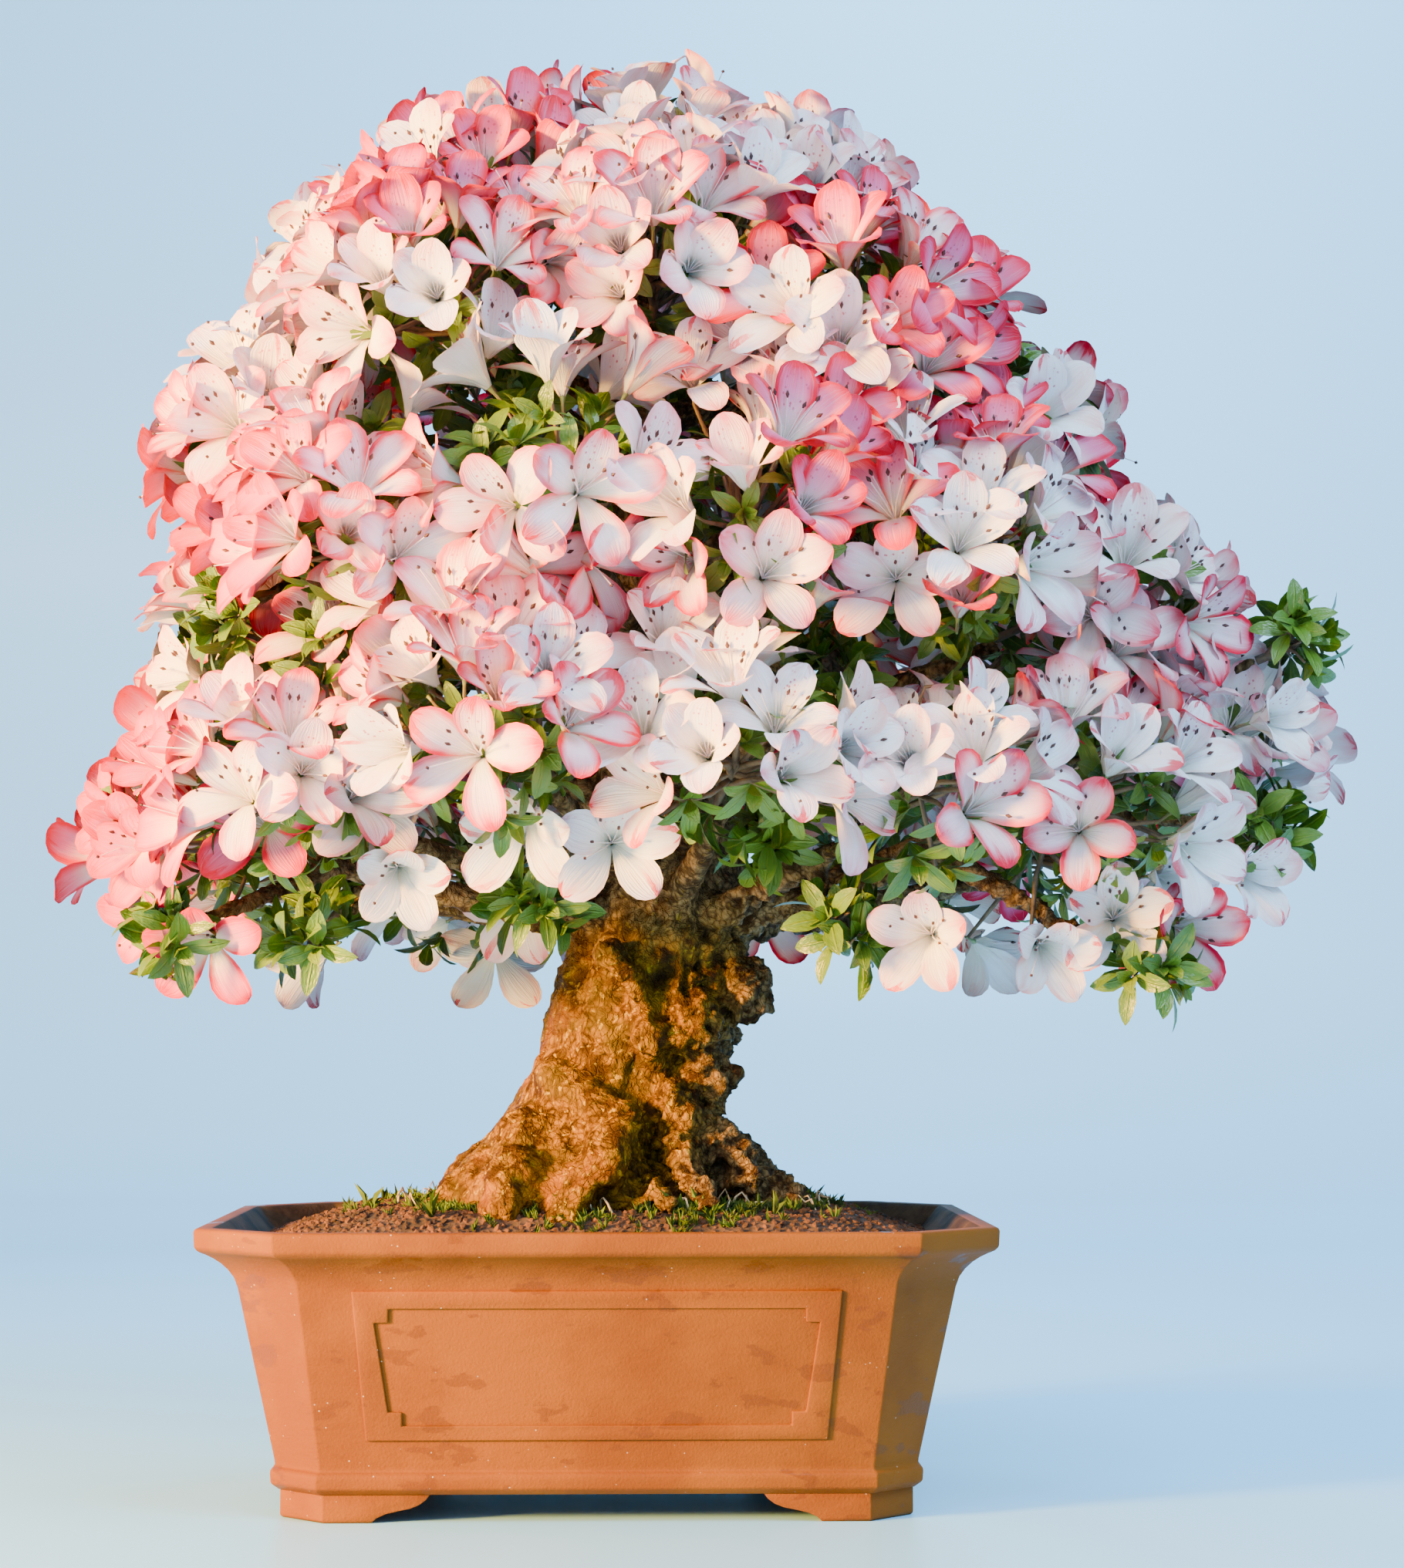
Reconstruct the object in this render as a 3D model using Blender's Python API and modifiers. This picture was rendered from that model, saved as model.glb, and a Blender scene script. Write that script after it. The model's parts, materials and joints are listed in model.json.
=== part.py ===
"""Satsuki azalea bonsai in full bloom, in a cut-cornered clay pot on four bracket feet.

The pot holds soil over two drainage screens. The trunk stands in a plain hole in the soil and carries
bunches of blossom and sprays of leaves on the ends of its branches. The front faces -Y and the pot
stands on z = 0. Tables are in millimetres, measured from the middle of the pot at table level, and
every mesh is made in metres.
"""

import math
import random

import bmesh
import bpy
from mathutils import Matrix, Vector
from mathutils.bvhtree import BVHTree

MM = 0.001
GAP = 0.3  # clearance between pieces that touch
SEED = 11

# Pot: height, half length, half depth and corner cut of each level, from the underside up and over the rim
FOOT_HEIGHT = 14.0
RIM_HEIGHT = 144.0
POT_OUTSIDE = [
    (FOOT_HEIGHT, 159.0, 109.0, 23.0),
    (15.5, 160.5, 110.5, 23.5),
    (23.5, 163.0, 113.0, 25.0),
    (25.0, 162.3, 112.3, 24.7),
    (26.0, 160.5, 110.5, 24.0),
    (116.0, 179.5, 129.5, 33.0),
    (120.0, 181.8, 131.8, 34.5),
    (124.0, 184.8, 134.8, 36.0),
    (127.5, 188.5, 138.5, 38.0),
    (130.0, 192.5, 142.5, 40.0),
    (132.0, 196.8, 146.8, 42.0),
    (135.0, 199.6, 149.6, 43.0),
    (143.0, 200.0, 150.0, 43.0),
    (RIM_HEIGHT, 199.0, 149.0, 42.5),
]
POT_INSIDE = [
    (RIM_HEIGHT, 191.0, 141.0, 39.0),
    (142.0, 188.5, 138.5, 38.0),
    (134.0, 182.0, 132.0, 35.0),
    (126.0, 173.5, 123.5, 31.0),
    (116.0, 168.5, 118.5, 29.0),
    (26.0, 150.0, 100.0, 20.0),
]
POT_FLOOR = POT_INSIDE[-1][0]
DRAIN_X = 72.0
DRAIN_RADIUS = 12.0

# Feet: a skirt under the pot, cut through between its corners by a bracket-shaped opening
SKIRT_OUTER = (158.0, 108.0, 23.0)
SKIRT_WALL = 14.0
SKIRT_ROOT = 1.5  # how far it runs up into the pot
BRACKET = [(29.0, 0.0), (26.0, 3.0), (21.0, 5.2), (13.0, 6.6), (6.0, 8.6), (2.0, 11.2), (0.0, 14.0)]
FRONT_OPENING = 82.0  # half width of the opening at its top
SIDE_OPENING = 42.0

# Raised mouldings on the four walls, drawn flat on the sloping wall
MOULD_BOTTOM, MOULD_TOP = 41.0, 115.0
MOULD_RELIEF = 1.6
MOULD_ROOT = 4.0
MOULD_MARGIN_SIDE, MOULD_MARGIN_TOP, MOULD_MARGIN_BOTTOM = 11.0, 9.0, 7.5
MOULD_NOTCH = 7.0
FRONT_MOULD = (120.0, 113.5)  # half width at the top and at the bottom
SIDE_MOULD = (80.0, 73.5)

# Drainage screens, one over each hole
SCREEN_SIDE, SCREEN_THICK = 36.0, 1.2
SCREEN_HOLE, SCREEN_PITCH = 7.0, 10.0

# Soil: its edge just under the rim, then the mound up to the flat that the roots stand on
SOIL_EDGE = 131.5
SOIL_TOP = 150.0
SOIL_MOUND = [(136.5, 165.0, 115.0, 33.0), (143.0, 145.0, 104.0, 33.0), (148.0, 130.0, 94.0, 33.0)]
SOIL_FLAT = (SOIL_TOP, 118.0, 86.0, 33.0)

# Trunk: the middle and radius of each level; roots: heading, reach and radii at the trunk and at the tip
TRUNK = [
    (6, 0, 136, 58), (9, 0, 178, 55), (14, 0, 220, 48), (24, 2, 258, 50), (35, 4, 296, 46),
    (36, 6, 340, 39), (30, 4, 400, 32), (22, 0, 460, 25), (20, 0, 520, 18), (24, 0, 585, 10),
]
ROOTS = [
    (190, 92, 25, 9), (222, 94, 30, 15), (252, 90, 26, 13), (281, 82, 13, 8), (305, 88, 13, 7),
    (334, 112, 20, 10), (14, 106, 22, 8), (66, 86, 24, 9), (108, 84, 22, 8), (150, 92, 24, 9),
]
ROOT_RISE = 66.0  # how far above the soil a root leaves the trunk
BURLS = [
    (76, -20, 262, 18), (60, -34, 214, 15), (50, -46, 184, 16), (76, -38, 166, 13), (-36, -44, 186, 20),
    (-48, -66, 158, 17), (-4, -72, 158, 15), (24, -52, 236, 13), (-20, 30, 240, 20), (70, 30, 236, 18),
]
PLUG_RADIUS, PLUG_DEPTH = 54.0, 52.0
PLUG_CENTRE = (6.0, 0.0)
WOOD_VOXEL = 5.0
WOOD_FACES = 900
PLUG_SIDES = 24

# Bunches of blossom: name, middle, radius of the twiggy core, and colour
WHITE, ROSE, LEAF = "petal_white", "petal_rose", "leaf"
BUNCHES = [
    ("crest", 24, 4, 694, 50, WHITE),
    ("crest_left", -58, -34, 674, 38, ROSE),
    ("crest_right", 94, -24, 664, 44, WHITE),
    ("crest_back", 22, 88, 660, 50, WHITE),
    ("upper_front", 26, -104, 628, 50, WHITE),
    ("upper_left", -112, 30, 636, 50, WHITE),
    ("upper_left_front", -78, -108, 602, 50, WHITE),
    ("upper_right", 140, 56, 620, 50, WHITE),
    ("upper_right_front", 124, -108, 592, 50, ROSE),
    ("upper_back", 62, 156, 578, 52, WHITE),
    ("upper_back_left", -58, 138, 572, 52, WHITE),
    ("middle_left", -164, -46, 546, 50, WHITE),
    ("middle_left_back", -156, 78, 536, 50, WHITE),
    ("middle_right", 208, -40, 556, 50, ROSE),
    ("middle_right_back", 196, 90, 538, 50, WHITE),
    ("waist_front", -20, -158, 508, 48, ROSE),
    ("waist_left_front", -112, -130, 480, 50, WHITE),
    ("waist_left", -178, 10, 436, 50, WHITE),
    ("waist_centre", 76, -160, 486, 48, WHITE),
    ("waist_right_front", 170, -130, 474, 50, WHITE),
    ("waist_right", 256, -44, 462, 50, WHITE),
    ("waist_right_back", 240, 84, 440, 50, WHITE),
    ("waist_back", 112, 172, 452, 52, WHITE),
    ("waist_back_mid", -4, 182, 440, 52, WHITE),
    ("waist_left_back", -120, 128, 434, 52, WHITE),
    ("skirt_front_left", -46, -166, 382, 50, WHITE),
    ("skirt_front_right", 70, -164, 368, 46, WHITE),
    ("skirt_left_front", -146, -118, 356, 48, WHITE),
    ("skirt_left_tip", -210, -34, 344, 44, ROSE),
    ("skirt_left_back", -184, 74, 328, 48, WHITE),
    ("skirt_right_front", 160, -142, 354, 48, WHITE),
    ("skirt_right", 246, -92, 352, 48, WHITE),
    ("skirt_right_tip", 318, 2, 388, 46, WHITE),
    ("skirt_right_back", 272, 94, 336, 50, WHITE),
    ("skirt_back_right", 168, 156, 326, 50, WHITE),
    ("skirt_back", 50, 166, 324, 50, WHITE),
    ("skirt_back_left", -78, 150, 320, 50, WHITE),
]
# Sprays of leaves, the same way
SPRAYS = [
    ("spray_right_tip", 356, -62, 442, 16, LEAF),
    ("spray_right_low", 340, -72, 346, 16, LEAF),
    ("spray_right_hem", 276, -84, 272, 16, LEAF),
    ("spray_trunk_right", 120, -96, 292, 18, LEAF),
    ("spray_trunk_front", 84, -92, 336, 14, LEAF),
    ("spray_trunk_left", -30, -98, 302, 14, LEAF),
    ("spray_left_hem", -140, -92, 290, 18, LEAF),
    ("spray_left_tip", -214, -96, 290, 14, LEAF),
    ("spray_left_gap", -186, -82, 452, 14, LEAF),
    ("spray_centre_gap", 118, -134, 418, 16, LEAF),
    ("spray_upper_gap", -36, -128, 556, 14, LEAF),
    ("spray_back_hem", 20, 128, 284, 18, LEAF),
]
CORE_FLATNESS = 0.86  # a core's height over its width

# Five-lobed stars: a bloom is five petals round a throat, a whorl is five leaves round a twig's tip
# The rim of one lobe is listed as (share of the lobe's angle, radius, height over the core), from its tip round
BLOOM = {
    "lobes": 5, "rim": [(0.0, 27.5, 25.0), (0.5, 17.0, 18.5)], "throat": 9.0, "neck": 4.5,
    "spacing": 53.0, "lean": 14.0,
}
WHORL = {
    "lobes": 4, "rim": [(0.0, 27.0, 15.0), (0.26, 14.5, 12.5), (0.5, 4.0, 7.0), (0.74, 14.5, 12.5)],
    "throat": 8.0, "neck": 3.5, "spacing": 38.0, "lean": 12.0,
}
STEM_PAD = 8.0  # size of the flat under a core that its branch meets
STEM_PROUD = 1.5
BLOOM_BRANCH = (11.0, 5.0)  # radius at the trunk and at the tip
SPRAY_BRANCH = (7.0, 3.5)
BRANCH_RISE = 0.30  # how much a branch climbs for each unit it reaches out
LOWEST_FORK = 288.0
TWIG_FORK = (0.35, 0.85)  # the part of a branch that the twig of a spray may leave from
TWIG_CLEARANCE = 9.0

CLAY = ((0.50, 0.22, 0.10), 0.55)
EARTH = ((0.09, 0.045, 0.025), 0.95)
WOOD = ((0.36, 0.21, 0.09), 0.85)
SCREEN = ((0.03, 0.03, 0.03), 0.5)
PETAL_COLOURS = {
    WHITE: ((0.90, 0.80, 0.79), 0.6),
    ROSE: ((0.88, 0.28, 0.30), 0.6),
    LEAF: ((0.09, 0.22, 0.03), 0.5),
}


def clear_scene():
    for obj in list(bpy.data.objects):
        bpy.data.objects.remove(obj, do_unlink=True)


def material(name, colour, roughness):
    found = bpy.data.materials.get(name)
    if found is None:
        found = bpy.data.materials.new(name)
        found.use_nodes = True
        shader = found.node_tree.nodes["Principled BSDF"]
        shader.inputs["Base Color"].default_value = (*colour, 1.0)
        shader.inputs["Roughness"].default_value = roughness
        shader.inputs["Metallic"].default_value = 0.0
    return found


def point(x, y, z):
    """A point of the tables, in metres."""
    return Vector((x, y, z)) * MM


def add_object(name, mesh, collection):
    obj = bpy.data.objects.new(name, mesh)
    collection.objects.link(obj)
    return obj


def mesh_from(name, bm):
    """Turns a bmesh into a mesh with its faces pointing outwards."""
    bmesh.ops.recalc_face_normals(bm, faces=bm.faces)
    mesh = bpy.data.meshes.new(name)
    bm.to_mesh(mesh)
    bm.free()
    return mesh


def applied(obj):
    """The object's evaluated mesh put in place of its own, with its modifiers removed."""
    bpy.context.view_layer.update()
    graph = bpy.context.evaluated_depsgraph_get()
    mesh = bpy.data.meshes.new_from_object(obj.evaluated_get(graph))
    obj.modifiers.clear()
    obj.data = mesh
    return obj


def boolean(obj, others, operation, solver="EXACT"):
    """Joins or cuts obj with the other objects in one step, then removes them."""
    group = bpy.data.collections.new("operands")
    bpy.context.scene.collection.children.link(group)
    for other in others:
        for owner in list(other.users_collection):
            owner.objects.unlink(other)
        group.objects.link(other)
    modifier = obj.modifiers.new("Boolean", "BOOLEAN")
    modifier.operation = operation
    modifier.operand_type = "COLLECTION"
    modifier.collection = group
    modifier.solver = solver
    applied(obj)
    for other in others:
        bpy.data.objects.remove(other, do_unlink=True)
    bpy.data.collections.remove(group)
    return obj


def largest_shell(obj):
    """Keeps only the biggest connected skin of a mesh, which drops crumbs and sealed pockets."""
    bm = bmesh.new()
    bm.from_mesh(obj.data)
    unseen = set(bm.verts)
    shells = []
    while unseen:
        shell = {unseen.pop()}
        edge_of_shell = list(shell)
        while edge_of_shell:
            near = {edge.other_vert(vert) for vert in edge_of_shell for edge in vert.link_edges}
            edge_of_shell = list(near - shell)
            shell.update(edge_of_shell)
        unseen -= shell
        shells.append(shell)
    biggest = max(shells, key=len)
    bmesh.ops.delete(bm, geom=[vert for vert in bm.verts if vert not in biggest], context="VERTS")
    bm.to_mesh(obj.data)
    bm.free()
    return obj


def octagon(level):
    """The eight corners of a cut-cornered rectangle at one height."""
    height, half_length, half_depth, cut = level
    quarter = [(half_length, half_depth - cut), (half_length - cut, half_depth)]
    mirrored = [(-x, y) for x, y in reversed(quarter)]
    upper = quarter + mirrored
    lower = [(-x, -y) for x, y in upper]
    return [point(x, y, height) for x, y in upper + lower]


def loft(name, levels, collection, closed=False):
    """Skins the octagons of the levels in order. It caps both ends, or joins the last level to the first."""
    bm = bmesh.new()
    rings = [[bm.verts.new(corner) for corner in octagon(level)] for level in levels]
    pairs = list(zip(rings, rings[1:]))
    if closed:
        pairs.append((rings[-1], rings[0]))
    else:
        bm.faces.new(rings[0])
        bm.faces.new(rings[-1])
    for lower, upper in pairs:
        for i in range(len(lower)):
            j = (i + 1) % len(lower)
            bm.faces.new((lower[i], lower[j], upper[j], upper[i]))
    return add_object(name, mesh_from(name, bm), collection)


def primitive(name, collection, make, place, **sizes):
    """A closed shape from one of bmesh's primitives, put in place."""
    bm = bmesh.new()
    make(bm, **sizes)
    bm.transform(place)
    return add_object(name, mesh_from(name, bm), collection)


def cylinder(name, collection, radius, bottom, top, x, y, sides):
    place = Matrix.Translation(point(x, y, (bottom + top) / 2))
    return primitive(
        name, collection, bmesh.ops.create_cone, place,
        cap_ends=True, segments=sides, radius1=radius * MM, radius2=radius * MM,
        depth=(top - bottom) * MM,
    )


def box(name, collection, size, centre):
    place = Matrix.Translation(point(*centre)) @ Matrix.Diagonal((*point(*size), 1.0))
    return primitive(name, collection, bmesh.ops.create_cube, place, size=1.0)


def plate(name, collection, outlines, half_thickness, place):
    """A flat plate with straight edges. The first outline is its rim and any other is a hole."""
    curve = bpy.data.curves.new(name, "CURVE")
    curve.dimensions = "2D"
    curve.fill_mode = "BOTH"
    curve.extrude = half_thickness * MM
    for outline in outlines:
        spline = curve.splines.new("POLY")
        spline.points.add(len(outline) - 1)
        for knot, (u, v) in zip(spline.points, outline):
            knot.co = (u * MM, v * MM, 0.0, 1.0)
        spline.use_cyclic_u = True
    return solid_from_curve(name, curve, collection, place)


def solid_from_curve(name, curve, collection, place=None):
    """A closed mesh from a curve, with its loose caps welded to its sides."""
    drawn = add_object(name + "_curve", curve, collection)
    bpy.context.view_layer.update()
    graph = bpy.context.evaluated_depsgraph_get()
    mesh = bpy.data.meshes.new_from_object(drawn.evaluated_get(graph))
    bpy.data.objects.remove(drawn, do_unlink=True)
    bm = bmesh.new()
    bm.from_mesh(mesh)
    bmesh.ops.remove_doubles(bm, verts=bm.verts, dist=0.01 * MM)
    if place is not None:
        bm.transform(place)
    return add_object(name, mesh_from(name, bm), collection)


def bracket_cutter(name, collection, half_opening, along_y):
    """The opening between two feet: a flat-topped arch with a bracket curve at each end, run right through."""
    right = [(half_opening + out, up) for out, up in BRACKET]
    right = [(right[0][0], -5.0)] + right + [(right[-1][0], FOOT_HEIGHT + 6.0)]
    left = [(-x, z) for x, z in reversed(right)]
    turn = Matrix.Rotation(math.radians(90), 4, "X")
    if not along_y:
        turn = Matrix.Rotation(math.radians(90), 4, "Z") @ turn
    return plate(name, collection, [right + left], 260.0, turn)


def moulding(name, collection, widths, wall_top, wall_bottom, turn):
    """A raised frame with notched inner corners, laid on a sloping wall and rooted in it."""
    (top_out, top_z), (bottom_out, bottom_z) = wall_top, wall_bottom
    slope = math.atan2(top_out - bottom_out, top_z - bottom_z)
    length = (MOULD_TOP - MOULD_BOTTOM) / math.cos(slope)
    half_top, half_bottom = widths
    outer = [
        (-half_bottom, -length / 2), (half_bottom, -length / 2), (half_top, length / 2), (-half_top, length / 2),
    ]
    low, high = -length / 2 + MOULD_MARGIN_BOTTOM, length / 2 - MOULD_MARGIN_TOP
    wide_low, wide_high = half_bottom - MOULD_MARGIN_SIDE, half_top - MOULD_MARGIN_SIDE
    notch = MOULD_NOTCH
    right = [
        (wide_low - notch, low), (wide_low - notch, low + notch), (wide_low, low + notch),
        (wide_high, high - notch), (wide_high - notch, high - notch), (wide_high - notch, high),
    ]
    inner = right + [(-u, v) for u, v in reversed(right)]
    middle_z = (MOULD_TOP + MOULD_BOTTOM) / 2
    share = (middle_z - bottom_z) / (top_z - bottom_z)
    middle_out = bottom_out + share * (top_out - bottom_out)
    inward = (MOULD_ROOT - MOULD_RELIEF) / 2
    upright = Matrix.Rotation(math.radians(90) + slope, 4, "X")
    lay = Matrix.Translation(point(0, -middle_out, middle_z)) @ upright
    place = turn @ lay @ Matrix.Translation(point(0, 0, -inward))
    return plate(name, collection, [outer, inner], (MOULD_ROOT + MOULD_RELIEF) / 2, place)


def make_feet(collection):
    half_length, half_depth, cut = SKIRT_OUTER
    outer = (half_length, half_depth, cut)
    inner = (half_length - SKIRT_WALL, half_depth - SKIRT_WALL, cut - SKIRT_WALL / 3)
    top = FOOT_HEIGHT + SKIRT_ROOT
    foot_round = (half_length - 1.2, half_depth - 1.2, cut)
    levels = [(0.0, *foot_round), (1.2, *outer), (top, *outer), (top, *inner), (0.0, *inner)]
    skirt = loft("feet", levels, collection, closed=True)
    openings = [
        bracket_cutter("front_opening", collection, FRONT_OPENING, True),
        bracket_cutter("side_opening", collection, SIDE_OPENING, False),
    ]
    return boolean(skirt, openings, "DIFFERENCE")


def make_pot(collection):
    pot = loft("pot", POT_OUTSIDE + POT_INSIDE, collection)
    wall_bottom, wall_top = POT_OUTSIDE[4], POT_OUTSIDE[5]
    added = [make_feet(collection)]
    for quarter in range(4):
        turn = Matrix.Rotation(math.radians(90 * quarter), 4, "Z")
        reach = 2 if quarter % 2 == 0 else 1
        widths = FRONT_MOULD if quarter % 2 == 0 else SIDE_MOULD
        added.append(moulding(
            f"moulding_{quarter}", collection, widths,
            (wall_top[reach], wall_top[0]), (wall_bottom[reach], wall_bottom[0]), turn,
        ))
    boolean(pot, added, "UNION")
    drains = [
        cylinder(f"drain_{side}", collection, DRAIN_RADIUS, 5.0, POT_FLOOR + 6.0, side * DRAIN_X, 0.0, 12)
        for side in (-1, 1)
    ]
    boolean(pot, drains, "DIFFERENCE")
    pot.data.materials.append(material("clay", *CLAY))
    return pot


def make_screen(name, collection, x):
    """A plastic screen lying over one drainage hole."""
    middle = POT_FLOOR + GAP + SCREEN_THICK / 2
    screen = box(name, collection, (SCREEN_SIDE, SCREEN_SIDE, SCREEN_THICK), (x, 0.0, middle))
    steps = [-SCREEN_PITCH, 0.0, SCREEN_PITCH]
    holes = [
        box("mesh_hole", collection, (SCREEN_HOLE, SCREEN_HOLE, 5.0), (x + dx, dy, middle))
        for dx in steps
        for dy in steps
    ]
    boolean(screen, holes, "DIFFERENCE")
    screen.data.materials.append(material("screen", *SCREEN))
    return screen


def cavity(height):
    """Half length, half depth and corner cut of the pot's inside at a height."""
    for upper, lower in zip(POT_INSIDE, POT_INSIDE[1:]):
        if lower[0] <= height <= upper[0]:
            share = (height - lower[0]) / (upper[0] - lower[0])
            return [low + share * (high - low) for low, high in zip(lower[1:], upper[1:])]
    return list(POT_INSIDE[-1][1:])


def make_soil(collection):
    heights = [POT_FLOOR + GAP] + [level[0] for level in reversed(POT_INSIDE[3:-1])] + [SOIL_EDGE]
    levels = []
    for height in heights:
        half_length, half_depth, cut = cavity(height)
        levels.append((height, half_length - 1.4 * GAP, half_depth - 1.4 * GAP, cut))
    soil = loft("soil", levels + SOIL_MOUND + [SOIL_FLAT], collection)
    floor = POT_FLOOR + GAP
    room = SCREEN_SIDE + 2 * GAP
    recesses = [
        box("screen_recess", collection, (room, room, 2 * (SCREEN_THICK + GAP)), (side * DRAIN_X, 0.0, floor))
        for side in (-1, 1)
    ]
    hole = cylinder(
        "root_hole", collection, PLUG_RADIUS + GAP, SOIL_TOP - PLUG_DEPTH - GAP, SOIL_TOP + 10.0,
        *PLUG_CENTRE, PLUG_SIDES,
    )
    boolean(soil, recesses + [hole], "DIFFERENCE")
    soil.data.materials.append(material("earth", *EARTH))
    return soil


def tube(name, collection, path, smooth):
    """A tapering tube with closed ends along (point, radius) pairs, as a mesh."""
    curve = bpy.data.curves.new(name, "CURVE")
    curve.dimensions = "3D"
    curve.bevel_depth = MM
    curve.use_fill_caps = True
    if smooth:
        curve.bevel_resolution = 4
        curve.resolution_u = 4
        spline = curve.splines.new("BEZIER")
        spline.bezier_points.add(len(path) - 1)
        for knot, (place, radius) in zip(spline.bezier_points, path):
            knot.co = place
            knot.radius = radius
            knot.handle_left_type = knot.handle_right_type = "AUTO"
    else:
        curve.bevel_resolution = 1
        spline = curve.splines.new("POLY")
        spline.points.add(len(path) - 1)
        for knot, (place, radius) in zip(spline.points, path):
            knot.co = (*place, 1.0)
            knot.radius = radius
    return solid_from_curve(name, curve, collection)


def root_path(heading, reach, thick, thin):
    """A root leaves the trunk high up, leans down to the soil and ends just under its surface."""
    out = Vector((math.cos(math.radians(heading)), math.sin(math.radians(heading)), 0.0))
    start = point(*PLUG_CENTRE, 0.0)
    stages = [(0.16, ROOT_RISE, 1.0), (0.46, 0.44 * ROOT_RISE, 0.95), (0.78, 6.0, 0.75), (1.0, -6.0, 0.0)]
    path = []
    for share, rise, fullness in stages:
        place = start + out * (share * reach * MM) + point(0, 0, SOIL_TOP + rise)
        path.append((place, thin + (thick - thin) * fullness))
    return path


def make_bole(collection):
    """The trunk with its surface roots as one rough skin, cut flat where it meets the soil."""
    bole = tube("bole", collection, [(point(x, y, z), r) for x, y, z, r in TRUNK], True)
    bm = bmesh.new()
    bm.from_mesh(bole.data)
    for i, (heading, reach, thick, thin) in enumerate(ROOTS):
        root = tube(f"root_{i}", collection, root_path(heading, reach, thick, thin), True)
        bm.from_mesh(root.data)
        bpy.data.objects.remove(root, do_unlink=True)
    for x, y, z, radius in BURLS:
        bmesh.ops.create_icosphere(bm, subdivisions=2, radius=radius * MM, matrix=Matrix.Translation(point(x, y, z)))
    bole.data = mesh_from("bole", bm)
    skin = bole.modifiers.new("Skin", "REMESH")
    skin.mode = "VOXEL"
    skin.voxel_size = WOOD_VOXEL * MM
    largest_shell(applied(bole))
    thin_out = bole.modifiers.new("Thin out", "DECIMATE")
    thin_out.ratio = WOOD_FACES / (2 * len(bole.data.polygons))
    applied(bole)
    below = box("below_soil", collection, (400.0, 400.0, 100.0), (0.0, 0.0, SOIL_TOP + GAP - 50.0))
    return boolean(bole, [below], "DIFFERENCE")


def trunk_at(height):
    """Middle of the trunk at a height."""
    levels = sorted(TRUNK, key=lambda level: level[2])
    for lower, upper in zip(levels, levels[1:]):
        if lower[2] <= height <= upper[2]:
            share = (height - lower[2]) / (upper[2] - lower[2])
            return point(*[a + share * (b - a) for a, b in zip(lower[:3], upper[:3])])
    return point(*levels[-1][:3])


class Cushion:
    """The twiggy core that carries one bunch of blossom or one spray of leaves."""

    def __init__(self, row):
        self.name, x, y, z, self.radius, self.colour = row
        self.middle = point(x, y, z)
        self.star = WHORL if self.colour == LEAF else BLOOM
        self.radii = Vector((self.radius, self.radius, self.radius * CORE_FLATNESS)) * MM
        reach = math.hypot(x - TRUNK[4][0], y)
        height = z - BRANCH_RISE * reach - 20.0
        self.grow_from(trunk_at(max(LOWEST_FORK, min(height, TRUNK[-1][2]))))
        self.stars = []

    def grow_from(self, fork):
        self.fork = fork
        self.stem = (self.middle - fork).normalized()

    def nearest_fork(self, hosts):
        """The nearest point on the hosts' branches from which a twig reaches this cushion past every core."""
        low, high = TWIG_FORK
        shares = [low + (high - low) * step / 8 for step in range(9)]
        forks = []
        for host in hosts:
            start, end = host.branch()[0][0], host.branch()[-1][0]
            forks += [start.lerp(end, share) for share in shares]
        clear = [fork for fork in forks if self.has_clear_way(fork, hosts)]
        return min(clear, key=lambda fork: (fork - self.middle).length)

    def has_clear_way(self, fork, hosts):
        way = [fork.lerp(self.middle, step / 12) for step in range(13)]
        return not any(host.holds(place, TWIG_CLEARANCE) for host in hosts for place in way)

    def on_surface(self, direction):
        scaled = Vector([d / r for d, r in zip(direction, self.radii)])
        return self.middle + direction / scaled.length

    def normal(self, place):
        offset = place - self.middle
        return Vector([o / r**2 for o, r in zip(offset, self.radii)]).normalized()

    def stem_pad(self):
        """Three corners of the flat that the branch meets, square to the branch."""
        foot = self.on_surface(-self.stem) - self.stem * (STEM_PROUD * MM)
        side = self.stem.orthogonal().normalized() * (STEM_PAD * MM)
        return [foot + Matrix.Rotation(math.radians(120 * k), 3, self.stem) @ side for k in range(3)]

    def holds(self, place, margin):
        offset = place - self.middle
        return sum((o / (r + margin * MM)) ** 2 for o, r in zip(offset, self.radii)) < 1.0

    def branch(self):
        """A tapering branch from the fork to the pad, ending square to the pad."""
        thick, thin = SPRAY_BRANCH if self.colour == LEAF else BLOOM_BRANCH
        end = sum(self.stem_pad(), Vector()) / 3 - self.stem * (GAP * MM)
        return [(self.fork, thick), (end, thin)]


def around(place, radius, height, angle):
    """A point at an angle round the axis of a placement matrix."""
    return place @ (Vector((radius * math.cos(angle), radius * math.sin(angle), height)) * MM)


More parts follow.
